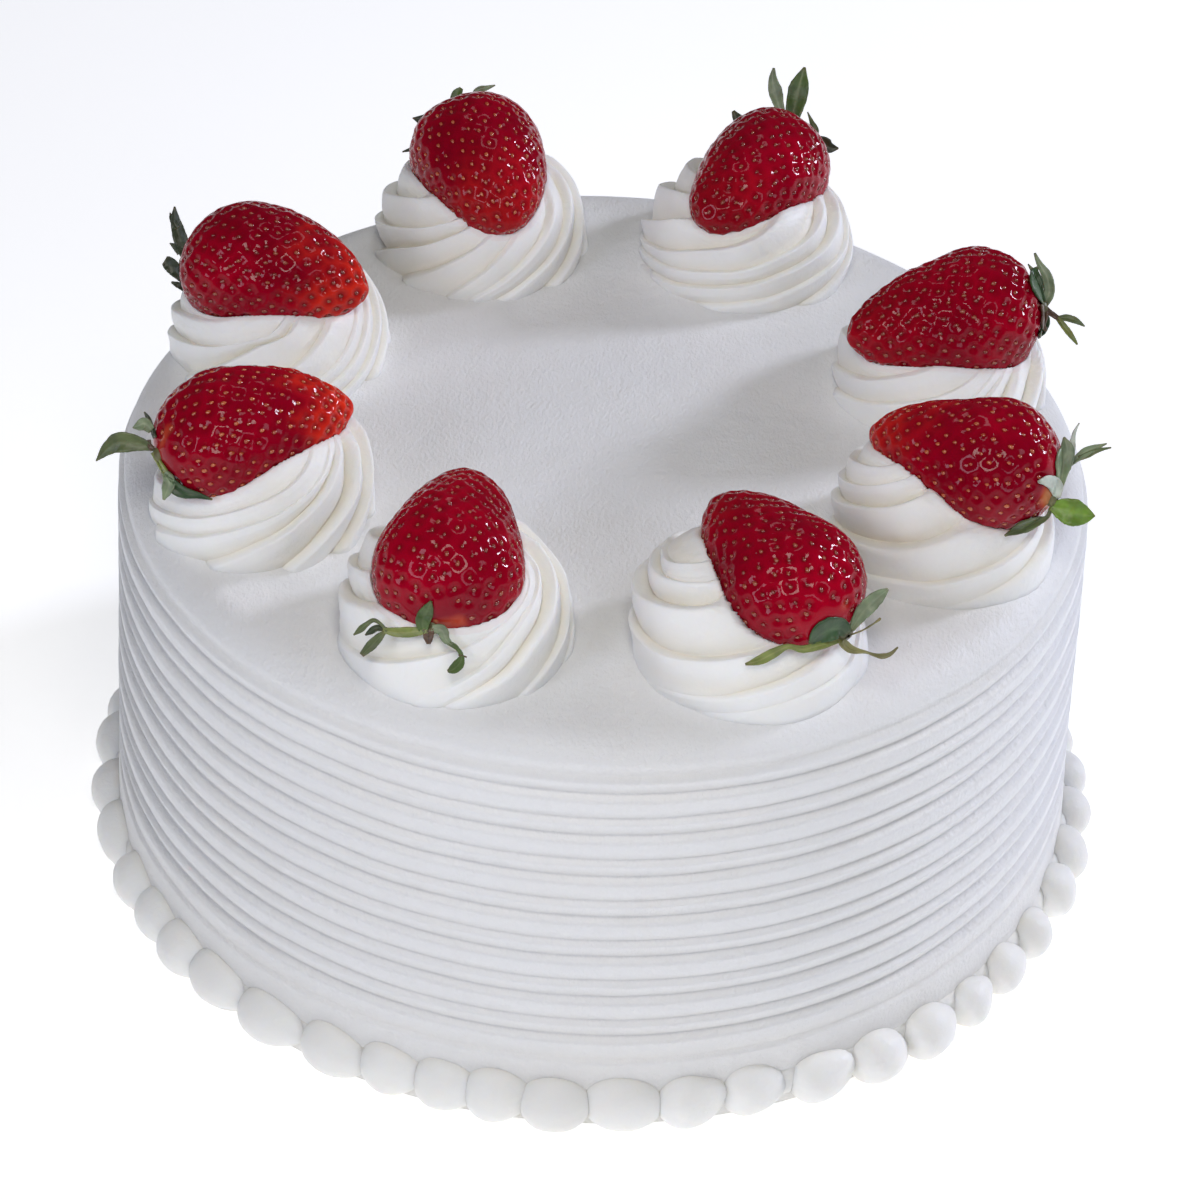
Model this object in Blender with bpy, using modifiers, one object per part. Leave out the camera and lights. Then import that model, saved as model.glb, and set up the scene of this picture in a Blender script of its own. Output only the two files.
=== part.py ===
# Strawberry layer cake: a round cake in white whipped cream, combed round its side, with a
# piped border of beads at its foot and eight piped rosettes on top, each holding one
# strawberry that lies on its side with its tip towards the middle.
# Metres, +Z up. The origin is the centre of the cake's flat base, and the front is -Y.

import math
import random

import bmesh
import bpy
from mathutils import Matrix, Vector

MM = 0.001
SHARP_ANGLE = math.radians(50)

# The iced cake
CAKE_HEIGHT = 104.7 * MM
CAKE_BASE_RADIUS = 114.6 * MM
CAKE_TOP_RADIUS = 111.0 * MM
SHOULDER_RADIUS = 9.6 * MM
SHOULDER_STEPS = 4
CAKE_SIDES = 49

# The comb's marks come in pairs: a shallow groove, a narrow ridge and a deeper groove
GROOVE_PAIRS = 8
FIRST_GROOVE_HEIGHT = 99.6 * MM
PAIR_PITCH = 11.38 * MM
RIDGE_WIDTH = 4.2 * MM
UPPER_GROOVE_DEPTH = 0.9 * MM
LOWER_GROOVE_DEPTH = 1.5 * MM
NARROW_RIDGE_DROP = 0.2 * MM
PLAIN_FOOT_HEIGHT = 15.0 * MM

# The border of beads round the foot
BEADS = 49
BEAD_RING_RADIUS = 114.3 * MM
BEAD_LENGTH = 19.0 * MM
BEAD_WIDTH = 11.6 * MM
BEAD_HEIGHT = 11.6 * MM
BEAD_CENTRE_HEIGHT = 5.4 * MM
BEAD_TAIL_TAPER = 0.22
BEAD_UNEVENNESS = 0.05
BEAD_STEP_UNEVENNESS = 0.07
BEAD_END_ROUNDNESS = 0.8
BEAD_SIDES = 8
BEAD_RINGS = 4
FIRST_BEAD_ANGLE = math.radians(-92.3)

# The rosettes
ROSETTE_HEIGHT = 23.5 * MM
ROSETTE_RIDGES = 10
RIDGE_DEPTH = 1.4 * MM
RIDGE_TWIST = math.radians(130)
RIDGE_TWIST_POWER = 1.6
ROSETTE_SQUARENESS = 2.3
ROSETTE_UNDERCUT = 0.05
UNDERCUT_HEIGHT_SHARE = 0.2
FULL_RELIEF_SHARE = 0.6
ROSETTE_RINGS = 7
ROSETTE_SKIRT = 7.0 * MM

# Each ridge is sharp on its crest, falls steeply into a crease and rises slowly to the next:
# (share of the ridge's width, relief from -1 to 1)
RIDGE_OUTLINE = ((0.0, 0.9), (0.28, -1.0), (0.64, 0.1))

# The strawberries and their calyxes
BERRY_SIDES = 14
BERRY_RINGS = 8
SHOULDER_ROUNDNESS = 0.9
TIP_ROUNDNESS = 0.57
HUB_RADIUS = 2.4 * MM
HUB_STAND_OFF = 0.9 * MM
STEM_LENGTH = 2.6 * MM
STEM_ROOM = 7.0 * MM
LEAF_THICKNESS = 0.8 * MM
LEAF_SLENDERNESS = 0.44
LEAF_WIDEST_AT_LENGTH = 14.0 * MM
LEAF_ROOT_SHARE = 0.4
LEAF_ROOT_HALF_ANGLE = math.radians(24)
LEAF_START_LEAN = 80
LEAF_START_SHARE = 0.8
LEAF_STEPS = 12
LEAF_FOLD = 0.16
LEAF_CLEARANCE = 1.2 * MM
LEAF_ROWS = ((0.0, 0.0), (0.4, 1.0), (0.76, 0.72), (1.0, 0.0))

# Neighbouring pieces keep this gap
GAP = 0.32 * MM

# One row for each rosette with its strawberry, going anticlockwise from the front right.
# rosette: angle and radius of its place on the top, and its own radius.
# berry: place of its middle beside the rosette's (x, y) and above the top, heading of its
# tip, rise of its tip, then length, width, thickness, place of its widest part along its
# length, fullness towards the tip, and how far its middle bows to the left and up.
# stem: how far the stem end lies to the left of the berry's axis and above it.
# leaves: turn about the berry's axis from straight up, lean from the stem's line, length.
TOPPINGS = (
    {
        "rosette": (-65.7, 80.1, 25.6),
        "berry": ((3.6, 1.7, 21.7), 124, 7, (43.8, 32.2, 28.4), 0.35, 1.45, (-0.5, -0.6)),
        "stem": (-4.4, -3.5),
        "leaves": ((-37, 88, 11.5), (67, 85, 9), (100, 98, 18), (-108, 55, 9.5), (13, 78, 8.5)),
    },
    {
        "rosette": (-23.0, 82.0, 24.8),
        "berry": ((2.8, 0.6, 23.0), 155, -1, (44.0, 31.6, 28.4), 0.32, 1.35, (0.1, 0.6)),
        "stem": (1.0, -3.1),
        "leaves": ((-21, 97, 12.4), (-46, 58, 14.7), (41, 112, 9.6), (163, 5, 10), (113, 112, 16)),
    },
    {
        "rosette": (19.7, 81.8, 24.6),
        "berry": ((-1.2, -2.1, 20.8), -160, -3, (46.2, 32.4, 30.2), 0.30, 1.6, (1.4, 0.6)),
        "stem": (4.7, 1.1),
        "leaves": ((-23, 97, 11.2), (118, 30, 8.4), (159, 50, 10.7), (35, 104, 9), (-153, 76, 10.3)),
    },
    {
        "rosette": (68.3, 86.6, 25.5),
        "berry": ((-0.4, 1.8, 20.7), -117, 2, (46.4, 29.8, 27.0), 0.36, 1.66, (1.6, 0.1)),
        "stem": (0, 0),
        "leaves": ((-31, 74, 15.5), (-8, 63, 15.4), (92, 76, 8.7), (-82, 93, 14.9), (20, 74, 5.5)),
    },
    {
        "rosette": (112.0, 86.8, 25.4),
        "berry": ((0.6, -1.2, 21.2), -72, -3, (44.7, 32.4, 29.8), 0.35, 1.66, (-0.4, 0.4)),
        "stem": (0, 0),
        "leaves": ((-84, 87, 9.9), (-7, 74, 6.1), (47, 81, 9.2), (-118, 90, 14.5), (120, 72, 11)),
    },
    {
        "rosette": (157.2, 84.0, 25.4),
        "berry": ((-0.6, -3.4, 21.8), -12, 0, (44.6, 31.4, 28.4), 0.34, 1.8, (1.2, 1.6)),
        "stem": (1.1, -1.0),
        "leaves": ((12, 79, 11.2), (-28, 72, 5.4), (-58, 77, 6.7), (-99, 95, 5.5), (130, 84, 10)),
    },
    {
        "rosette": (201.9, 81.9, 24.8),
        "berry": ((-0.7, -1.2, 21.5), 28, 2, (45.6, 30.6, 27.2), 0.33, 1.74, (1.8, 0.6)),
        "stem": (1.0, 0),
        "leaves": ((66, 10, 12.6), (14, 86, 8.5), (-156, 88, 9.8), (-104, 115, 15.7), (150, 80, 8)),
    },
    {
        "rosette": (247.3, 79.1, 25.4),
        "berry": ((-0.7, 1.5, 22.0), 83, 9, (43.0, 32.6, 29.8), 0.33, 1.55, (0.2, -0.2)),
        "stem": (1.0, -2.3),
        "leaves": ((0, 102, 5.9), (84, 70, 13.8), (105, 62, 12.6), (-151, 54, 12.7), (-60, 84, 10)),
    },
)

SEED = 7


def clear_scene():
    """Take out everything that a new file starts with."""
    for old in list(bpy.data.objects):
        bpy.data.objects.remove(old, do_unlink=True)


def add_collection(name):
    collection = bpy.data.collections.new(name)
    bpy.context.scene.collection.children.link(collection)
    return collection


def make_material(name, colour, roughness, subsurface=0.0):
    """A non-metallic surface of one colour."""
    material = bpy.data.materials.new(name)
    material.use_nodes = True
    shader = material.node_tree.nodes["Principled BSDF"]
    shader.inputs["Base Color"].default_value = (*colour, 1.0)
    shader.inputs["Roughness"].default_value = roughness
    shader.inputs["Metallic"].default_value = 0.0
    shader.inputs["Subsurface Weight"].default_value = subsurface
    return material


def add_object(name, bm, collection, material=None):
    """Turn a bmesh into a smooth-shaded object of the collection."""
    bm.normal_update()
    bmesh.ops.recalc_face_normals(bm, faces=bm.faces)
    mesh = bpy.data.meshes.new(name)
    bm.to_mesh(mesh)
    bm.free()
    mesh.shade_smooth()
    mesh.set_sharp_from_angle(angle=SHARP_ANGLE)
    if material:
        mesh.materials.append(material)
    obj = bpy.data.objects.new(name, mesh)
    collection.objects.link(obj)
    return obj


def hide_cutter(cutter):
    cutter.hide_render = True
    cutter.display_type = "WIRE"


def add_cut(obj, cutter, name):
    cut = obj.modifiers.new(name, "BOOLEAN")
    cut.operation = "DIFFERENCE"
    cut.solver = "EXACT"
    cut.object = cutter


def shaped_sphere(sides, rings, shape):
    """A UV sphere whose vertices are moved by shape(latitude from the top pole, side, ring)."""
    bm = bmesh.new()
    bmesh.ops.create_uvsphere(bm, u_segments=sides, v_segments=rings, radius=1.0)
    for vertex in bm.verts:
        latitude = math.acos(max(-1.0, min(1.0, vertex.co.z)))
        turn = math.atan2(vertex.co.y, vertex.co.x) % math.tau
        side = round(turn / math.tau * sides) % sides
        vertex.co = shape(latitude, side, round(latitude / math.pi * rings))
    return bm


# The iced cake


def side_radius(height):
    """Radius of the uncombed side at this height: it leans in a little towards the top."""
    radius = CAKE_BASE_RADIUS + (CAKE_TOP_RADIUS - CAKE_BASE_RADIUS) * height / CAKE_HEIGHT
    rise = height - (CAKE_HEIGHT - SHOULDER_RADIUS)
    if rise <= 0:
        return radius
    return radius - SHOULDER_RADIUS + math.sqrt(max(SHOULDER_RADIUS**2 - rise**2, 0.0))


def comb_marks():
    """(height, depth) of every crest and groove, from the top one down."""
    marks = []
    for pair in range(GROOVE_PAIRS):
        upper = FIRST_GROOVE_HEIGHT - pair * PAIR_PITCH
        lower = upper - RIDGE_WIDTH
        marks.append((upper, UPPER_GROOVE_DEPTH))
        marks.append(((upper + lower) / 2, NARROW_RIDGE_DROP))
        if lower > PLAIN_FOOT_HEIGHT + RIDGE_WIDTH:
            marks.append((lower, LOWER_GROOVE_DEPTH))
            marks.append((lower - (PAIR_PITCH - RIDGE_WIDTH) / 2, 0.0))
    return marks


def cake_profile(outset, combed):
    """Half outline of the cake from the middle of its top down to the middle of its base."""
    top = CAKE_HEIGHT + outset
    points = [(0.0, top), (CAKE_TOP_RADIUS - SHOULDER_RADIUS, top)]
    for step in range(1, SHOULDER_STEPS + 1):
        angle = math.radians(90) * step / (SHOULDER_STEPS + 1)
        height = CAKE_HEIGHT - SHOULDER_RADIUS * (1 - math.cos(angle))
        if not combed or height > FIRST_GROOVE_HEIGHT + UPPER_GROOVE_DEPTH:
            rise = outset * math.cos(angle)
            points.append((side_radius(height) + outset * math.sin(angle), height + rise))
    if combed:
        points += [(side_radius(height) - depth, height) for height, depth in comb_marks()]
    points.append((side_radius(PLAIN_FOOT_HEIGHT) + outset, PLAIN_FOOT_HEIGHT))
    points.append((CAKE_BASE_RADIUS + outset, 0.0))
    if outset:
        points.append((CAKE_BASE_RADIUS + outset, -CAKE_HEIGHT / 4))
    points.append((0.0, points[-1][1]))
    return points


def turned(name, profile, collection, material=None):
    """Turn a profile of (radius, height) about the cake's axis."""
    mesh = bpy.data.meshes.new(name)
    points = [(radius, 0.0, height) for radius, height in profile]
    mesh.from_pydata(points, [(i, i + 1) for i in range(len(points) - 1)], [])
    if material:
        mesh.materials.append(material)
    obj = bpy.data.objects.new(name, mesh)
    collection.objects.link(obj)
    screw = obj.modifiers.new("turn", "SCREW")
    screw.steps = CAKE_SIDES
    screw.render_steps = CAKE_SIDES
    screw.use_merge_vertices = True
    screw.merge_threshold = 0.01 * MM
    screw.use_smooth_shade = True
    return obj


# The border of beads


def add_bead(name, angle, scale, collection):
    """One piped bead: an egg along the ring, fat at its head and slimmer at its tail."""
    place = Matrix.Rotation(angle, 4, "Z") @ Matrix.Translation(
        (BEAD_RING_RADIUS, 0.0, BEAD_CENTRE_HEIGHT)
    )

    def egg(latitude, side, _ring):
        around = math.tau * side / BEAD_SIDES
        girth = max(math.sin(latitude), 0.0) ** BEAD_END_ROUNDNESS / 2
        girth *= 1 - BEAD_TAIL_TAPER * math.cos(latitude)
        along = BEAD_LENGTH * math.cos(latitude) / 2
        out = BEAD_WIDTH * girth * math.cos(around)
        up = BEAD_HEIGHT * girth * math.sin(around)
        return place @ (scale * Vector((out, along, up)))

    return add_object(name, shaped_sphere(BEAD_SIDES, BEAD_RINGS, egg), collection)


def add_border(collection, cutters, clearance, material):
    """Join the ring of beads into one solid, then cut it flat below and clear of the cake."""
    rng = random.Random(SEED)
    beads = add_collection("beads")
    step = math.tau / BEADS
    for index in range(BEADS):
        angle = FIRST_BEAD_ANGLE + step * (index + rng.uniform(-1, 1) * BEAD_STEP_UNEVENNESS)
        scale = 1 + rng.uniform(-1, 1) * BEAD_UNEVENNESS
        add_bead(f"bead_{index + 1}", angle, scale, beads)

    first = beads.objects["bead_1"]
    beads.objects.unlink(first)
    collection.objects.link(first)
    joined = first.modifiers.new("join", "BOOLEAN")
    joined.operation = "UNION"
    joined.operand_type = "COLLECTION"
    joined.solver = "MANIFOLD"
    joined.collection = beads
    graph = bpy.context.evaluated_depsgraph_get()
    mesh = bpy.data.meshes.new_from_object(first.evaluated_get(graph))
    for bead in [first, *beads.objects]:
        bpy.data.objects.remove(bead, do_unlink=True)
    bpy.data.collections.remove(beads)

    mesh.name = "border"
    mesh.materials.clear()
    mesh.materials.append(material)
    border = bpy.data.objects.new("border", mesh)
    collection.objects.link(border)

    below = bmesh.new()
    bmesh.ops.create_cube(below, size=1.0)
    size = 3 * BEAD_RING_RADIUS
    bmesh.ops.scale(below, vec=(size, size, BEAD_HEIGHT), verts=below.verts)
    bmesh.ops.translate(below, vec=(0.0, 0.0, -BEAD_HEIGHT / 2), verts=below.verts)
    floor_cut = add_object("floor_cut", below, cutters)
    hide_cutter(floor_cut)
    add_cut(border, floor_cut, "flat foot")
    add_cut(border, clearance, "clear of the cake")
    return border


# The rosettes


def mound(share):
    """(radius, height) of a rosette without its ridges, as shares, from apex (0) to rim (1)."""
    angle = math.radians(90) * share
    power = 2 / ROSETTE_SQUARENESS
    radius = math.sin(angle) ** power
    height = max(math.cos(angle), 0.0) ** power
    tuck = max(0.0, 1 - height / UNDERCUT_HEIGHT_SHARE)
    return radius * (1 - ROSETTE_UNDERCUT * tuck**2), height


def add_rosette(name, place, radius, turn, collection, material):
    """A star-tip rosette: a mound whose ridges sweep from its rim round and up to the middle."""
    corners = len(RIDGE_OUTLINE)

    def swirl(_latitude, side, ring):
        if ring == 0:
            return place @ Vector((0.0, 0.0, ROSETTE_HEIGHT))
        if ring > ROSETTE_RINGS + 1:
            return place @ Vector((0.0, 0.0, -ROSETTE_SKIRT))
        share = min(ring / ROSETTE_RINGS, 1.0)
        offset, relief = RIDGE_OUTLINE[side % corners]
        angle = math.tau * (side // corners + offset) / ROSETTE_RIDGES
        angle += turn + RIDGE_TWIST * (1 - share**RIDGE_TWIST_POWER)
        out, up = mound(share)
        fade = math.sin(math.radians(90) * min(share / FULL_RELIEF_SHARE, 1.0))
        push = relief * RIDGE_DEPTH * fade
        slope = math.radians(90) * share
        reach = radius * out + push * math.sin(slope)
        height = ROSETTE_HEIGHT * up + push * math.cos(slope)
        if ring > ROSETTE_RINGS:
            height = -ROSETTE_SKIRT
        return place @ Vector((reach * math.cos(angle), reach * math.sin(angle), height))

    bm = shaped_sphere(ROSETTE_RIDGES * corners, ROSETTE_RINGS + 2, swirl)
    bmesh.ops.triangulate(bm, faces=bm.faces, quad_method="SHORT_EDGE")
    return add_object(name, bm, collection, material)


# The strawberries


def berry_frame(middle, heading, rise):
    """Frame at a berry's middle: x towards its tip, y to its left, z up."""
    turn = Matrix.Rotation(heading, 4, "Z") @ Matrix.Rotation(-rise, 4, "Y")
    return Matrix.Translation(middle) @ turn


def berry_girth(share, widest, fullness):
    """Half width, as a share of the greatest, at this share of the length from the stem."""
    if share < widest:
        return math.sqrt(max(1 - (1 - share / widest) ** 2, 0.0)) ** SHOULDER_ROUNDNESS
    return (1 - ((share - widest) / (1 - widest)) ** fullness) ** TIP_ROUNDNESS


def add_berry(name, frame, size, widest, fullness, bow, stem, outset, collection, material=None):
    """A conical berry, a little flattened, its middle bowed to the left and up.

    With an outset it is the socket for that berry, with room behind it for the stem's hub.
    """
    length, width, thickness = size

    def berry(latitude, side, _ring):
        share = min((1 - math.cos(latitude)) / 2, 1.0)
        girth = berry_girth(share, widest, fullness)
        around = math.tau * side / BERRY_SIDES
        bend = 1 - (2 * share - 1) ** 2
        x = (share - 0.5) * (length + 2 * outset)
        if outset and share == 0.0:
            return frame @ Vector((x - STEM_ROOM, *stem))
        clear = outset * math.sin(latitude)
        y = bend * bow[0] + (girth * width / 2 + clear) * math.cos(around)
        z = bend * bow[1] + (girth * thickness / 2 + clear) * math.sin(around)
        return frame @ Vector((x, y, z))

    return add_object(name, shaped_sphere(BERRY_SIDES, BERRY_RINGS, berry), collection, material)


def lift_over_cream(point, centre, radius):
    """Raise a leaf's point until it clears the rosette's mound with its ridges."""
    spare = RIDGE_DEPTH + LEAF_CLEARANCE
    reach = math.hypot(point.x - centre.x, point.y - centre.y) / (radius + spare)
    if reach < 1:
        power = ROSETTE_SQUARENESS
        cream = (ROSETTE_HEIGHT + spare) * (1 - reach**power) ** (1 / power)
        point.z = max(point.z, centre.z + cream)
    return point


def leaf_line(turn, lean, length, share):
    """Point and growing direction along a leaf, in the berry's frame, from its stem end."""
    start = math.radians(min(lean, LEAF_START_LEAN)) * LEAF_START_SHARE
    end = 2 * math.radians(lean) - start
    outward = Vector((0.0, math.sin(turn), math.cos(turn)))
    point = outward * HUB_RADIUS - Vector((HUB_STAND_OFF, 0.0, 0.0))
    for step in range(LEAF_STEPS):
        angle = start + (end - start) * share * (step + 0.5) / LEAF_STEPS
        direction = outward * math.sin(angle) - Vector((math.cos(angle), 0.0, 0.0))
        point += direction * length * share / LEAF_STEPS
    return point, direction


def add_leaf(bm, stem_end, mound_place, turn, lean, length, spread):
    """One leaf of a calyx: a small grid, folded along its middle, that starts on the hub."""
    rows = len(LEAF_ROWS)
    grid = bmesh.ops.create_grid(bm, x_segments=2, y_segments=rows - 1, size=1.0)["verts"]
    across = Vector((0.0, math.cos(turn), -math.sin(turn)))
    width = LEAF_SLENDERNESS * min(length, LEAF_WIDEST_AT_LENGTH)
    for vertex in grid:
        column = round(vertex.co.x)
        share, spread_share = LEAF_ROWS[round((vertex.co.y + 1) / 2 * (rows - 1))]
        point, direction = leaf_line(turn, lean, length, share)
        if share == 0.0:
            angle = turn + column * spread
            point = Vector((0.0, math.sin(angle), math.cos(angle))) * HUB_RADIUS
            point.x = -HUB_STAND_OFF
        else:
            point += across * column * width * spread_share / 2
            point += direction.cross(across) * abs(column) * width * spread_share * LEAF_FOLD
        vertex.co = stem_end @ point
        if share > 0.0:
            vertex.co = lift_over_cream(vertex.co, *mound_place)


def add_calyx(name, stem_end, mound_place, leaves, collection, material):
    """The green star at a berry's stem end: a small hub with a stub of stem, and its leaves."""
    leaves = sorted((math.radians(turn) % math.tau, lean, length) for turn, lean, length in leaves)
    turns = [turn for turn, _, _ in leaves]
    nearest = min((b - a) % math.tau for a, b in zip(turns, turns[1:] + turns[:1]))
    spread = min(nearest * LEAF_ROOT_SHARE, LEAF_ROOT_HALF_ANGLE)

    bm = bmesh.new()
    for turn, lean, length in leaves:
        add_leaf(bm, stem_end, mound_place, turn, lean, length * MM, spread)
    bmesh.ops.remove_doubles(bm, verts=bm.verts, dist=0.001 * MM)
    hub = bmesh.ops.create_circle(
        bm, cap_ends=True, cap_tris=True, segments=3 * len(leaves), radius=1.0
    )["verts"]
    corners = [turn + column * spread for turn in turns for column in (-1, 0, 1)]
    rim = sorted(
        (vertex for vertex in hub if vertex.co.length > 0.5),
        key=lambda vertex: math.atan2(vertex.co.y, vertex.co.x) % math.tau,
    )
    for vertex in hub:
        vertex.co = stem_end @ Vector((-HUB_STAND_OFF - STEM_LENGTH, 0.0, 0.0))
    for vertex, angle in zip(rim, corners):
        flat = Vector((0.0, math.sin(angle), math.cos(angle))) * HUB_RADIUS
        flat.x = -HUB_STAND_OFF
        vertex.co = stem_end @ flat
    bmesh.ops.remove_doubles(bm, verts=bm.verts, dist=0.001 * MM)
    bmesh.ops.triangulate(bm, faces=bm.faces)

    calyx = add_object(name, bm, collection, material)
    shell = calyx.modifiers.new("thickness", "SOLIDIFY")
    shell.thickness = LEAF_THICKNESS
    shell.offset = 0.0
    return calyx


def add_topping(number, spec, collection, cutters, clearance, materials):
    """A rosette with its strawberry pressed into it, and the strawberry's calyx."""
    angle, reach, radius = spec["rosette"]
    angle = math.radians(angle)
    centre = Vector((math.cos(angle), math.sin(angle), 0.0)) * reach * MM
    centre.z = CAKE_HEIGHT
    rosette = add_rosette(
        f"rosette_{number}",
        Matrix.Translation(centre),
        radius * MM,
        angle,
        collection,
        materials["piped"],
    )

    shift, heading, rise, size, widest, fullness, bow = spec["berry"]
    middle = centre + Vector(shift) * MM
    frame = berry_frame(middle, math.radians(heading), math.radians(rise))
    size = Vector(size) * MM
    stem = Vector(spec["stem"]) * MM
    form = (size, widest, fullness, Vector(bow) * MM, stem)
    add_berry(f"strawberry_{number}", frame, *form, 0.0, collection, materials["berry"])
    socket = add_berry(f"socket_{number}", frame, *form, GAP, cutters)
    hide_cutter(socket)

    stem_end = frame @ Matrix.Translation((-size.x / 2, *stem))
    mound_place = (centre, radius * MM)
    leaves = spec["leaves"]
    add_calyx(f"calyx_{number}", stem_end, mound_place, leaves, collection, materials["leaf"])
    add_cut(rosette, clearance, "clear of the cake")
    add_cut(rosette, socket, "berry's socket")


def main():
    clear_scene()
    cake_parts = add_collection("strawberry layer cake")
    cutters = add_collection("cutters")
    materials = {
        "icing": make_material("whipped cream", (0.84, 0.84, 0.82), 0.55, 0.1),
        "piped": make_material("piped cream", (0.87, 0.86, 0.81), 0.5, 0.1),
        "berry": make_material("strawberry skin", (0.42, 0.006, 0.012), 0.22, 0.1),
        "leaf": make_material("strawberry leaf", (0.11, 0.20, 0.05), 0.5),
    }
    turned("cake", cake_profile(0.0, True), cake_parts, materials["icing"])
    clearance = turned("cake_clearance", cake_profile(GAP, False), cutters)
    hide_cutter(clearance)
    add_border(cake_parts, cutters, clearance, materials["piped"])
    for number, spec in enumerate(TOPPINGS, start=1):
        add_topping(number, spec, cake_parts, cutters, clearance, materials)


main()
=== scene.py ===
# Looks for the strawberry layer cake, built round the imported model.
# Sizes in the dictionaries are in millimetres and degrees, the scene is in metres.

import math
import random

import bmesh
import bpy
import numpy as np
from mathutils import Matrix, Vector, noise


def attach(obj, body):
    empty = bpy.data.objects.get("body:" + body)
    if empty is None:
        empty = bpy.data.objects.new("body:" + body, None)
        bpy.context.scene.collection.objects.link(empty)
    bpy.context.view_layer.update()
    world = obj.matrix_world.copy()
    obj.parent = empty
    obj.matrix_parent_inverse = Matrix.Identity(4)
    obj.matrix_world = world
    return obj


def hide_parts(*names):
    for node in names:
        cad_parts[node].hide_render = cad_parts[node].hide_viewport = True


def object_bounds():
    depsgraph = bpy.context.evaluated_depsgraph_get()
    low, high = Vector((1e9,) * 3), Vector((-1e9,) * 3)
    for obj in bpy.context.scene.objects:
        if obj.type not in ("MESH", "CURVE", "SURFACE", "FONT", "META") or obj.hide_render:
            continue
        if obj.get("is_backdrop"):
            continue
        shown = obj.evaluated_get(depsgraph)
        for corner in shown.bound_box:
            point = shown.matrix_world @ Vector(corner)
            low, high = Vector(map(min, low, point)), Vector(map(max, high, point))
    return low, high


mm = 0.001
# a fixed start for the noise, so that each run gives the same cream
noise.seed_set(11)
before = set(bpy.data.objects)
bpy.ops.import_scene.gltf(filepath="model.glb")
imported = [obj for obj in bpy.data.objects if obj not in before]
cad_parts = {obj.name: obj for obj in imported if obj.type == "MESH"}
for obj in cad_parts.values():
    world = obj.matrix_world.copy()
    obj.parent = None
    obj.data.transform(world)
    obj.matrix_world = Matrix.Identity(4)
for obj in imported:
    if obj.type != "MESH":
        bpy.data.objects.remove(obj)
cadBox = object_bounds()
print("frame loaded,", len(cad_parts), "nodes")


# small helpers for meshes


def smooth(value, low, high):
    # 0 below low, 1 above high, eased between
    t = np.clip((value - low) / (high - low), 0, 1)
    return t * t * (3 - 2 * t)


def turnAbout(axis, degrees, size=4):
    return Matrix.Rotation(math.radians(degrees), size, axis)


def addObject(name, data):
    made = bpy.data.objects.new(name, data)
    bpy.context.scene.collection.objects.link(made)
    return made


def addPiece(name, mesh, material, nodes):
    mesh.materials.append(material)
    piece = addObject(name, mesh)
    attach(piece, "root")
    if nodes:
        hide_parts(*nodes)


def finalMesh(name, piece):
    # what the modifiers make of the object, as a plain mesh
    bpy.context.view_layer.update()
    graph = bpy.context.evaluated_depsgraph_get()
    made = bpy.data.meshes.new_from_object(piece.evaluated_get(graph))
    made.name = name
    bpy.data.objects.remove(piece, do_unlink=True)
    return made


def meshFrom(name, points, faces):
    mesh = bpy.data.meshes.new(name)
    mesh.from_pydata(np.asarray(points, float).tolist(), [], faces)
    mesh.update()
    mesh.shade_smooth()
    return mesh


def ringMesh(name, rings, top, bottom):
    # rings is (rows, columns, 3) from the top down, columns anticlockwise seen from above
    rows, columns, _ = rings.shape
    row, column = np.meshgrid(np.arange(rows - 1) * columns, np.arange(columns), indexing="ij")
    after = (column + 1) % columns
    below = row + columns
    quads = np.stack([row + column, below + column, below + after, row + after], axis=-1)
    faces = quads.reshape(-1, 4).tolist()
    pole, last = rows * columns, (rows - 1) * columns
    faces += [(pole, c, (c + 1) % columns) for c in range(columns)]
    faces += [(pole + 1, last + (c + 1) % columns, last + c) for c in range(columns)]
    return meshFrom(name, [*rings.reshape(-1, 3), top, bottom], faces)


def meshPoints(mesh):
    points = np.zeros(len(mesh.vertices) * 3)
    mesh.vertices.foreach_get("co", points)
    return points.reshape(-1, 3)


def addAttribute(mesh, name, values, kind="FLOAT"):
    layer = mesh.attributes.new(name, kind, "POINT")
    field = {"FLOAT": "value", "FLOAT_VECTOR": "vector", "FLOAT_COLOR": "color"}[kind]
    layer.data.foreach_set(field, np.asarray(values, np.float32).ravel())


# small helpers for node trees


def node(tree, kind, values=None, **settings):
    # a new node with its settings and inputs set or linked: gives back its outputs
    made = tree.nodes.new(kind)
    for key, value in settings.items():
        setattr(made, key, value)
    for key, value in (values or {}).items():
        if isinstance(value, bpy.types.NodeSocket):
            tree.links.new(value, made.inputs[key])
        else:
            made.inputs[key].default_value = value
    return made.outputs


def sums(tree, operation, *values):
    return node(tree, "ShaderNodeMath", dict(enumerate(values)), operation=operation)[0]


def product(tree, first, *others):
    for other in others:
        first = sums(tree, "MULTIPLY", first, other)
    return first


def vectors(tree, operation, *values):
    names = (0, "Scale") if operation == "SCALE" else (0, 1)
    made = node(tree, "ShaderNodeVectorMath", dict(zip(names, values)), operation=operation)
    return made["Value" if operation in ("DOT_PRODUCT", "LENGTH") else 0]


def xyz(tree, x, y, z):
    return node(tree, "ShaderNodeCombineXYZ", {"X": x, "Y": y, "Z": z})[0]


def apartXyz(tree, vector):
    return node(tree, "ShaderNodeSeparateXYZ", {"Vector": vector})


def ramp(tree, value, low, high, lowOut=0.0, highOut=1.0, kind="SMOOTHSTEP"):
    values = {"Value": value, "From Min": low, "From Max": high, "To Min": lowOut, "To Max": highOut}
    return node(tree, "ShaderNodeMapRange", values, interpolation_type=kind)[0]


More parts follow.
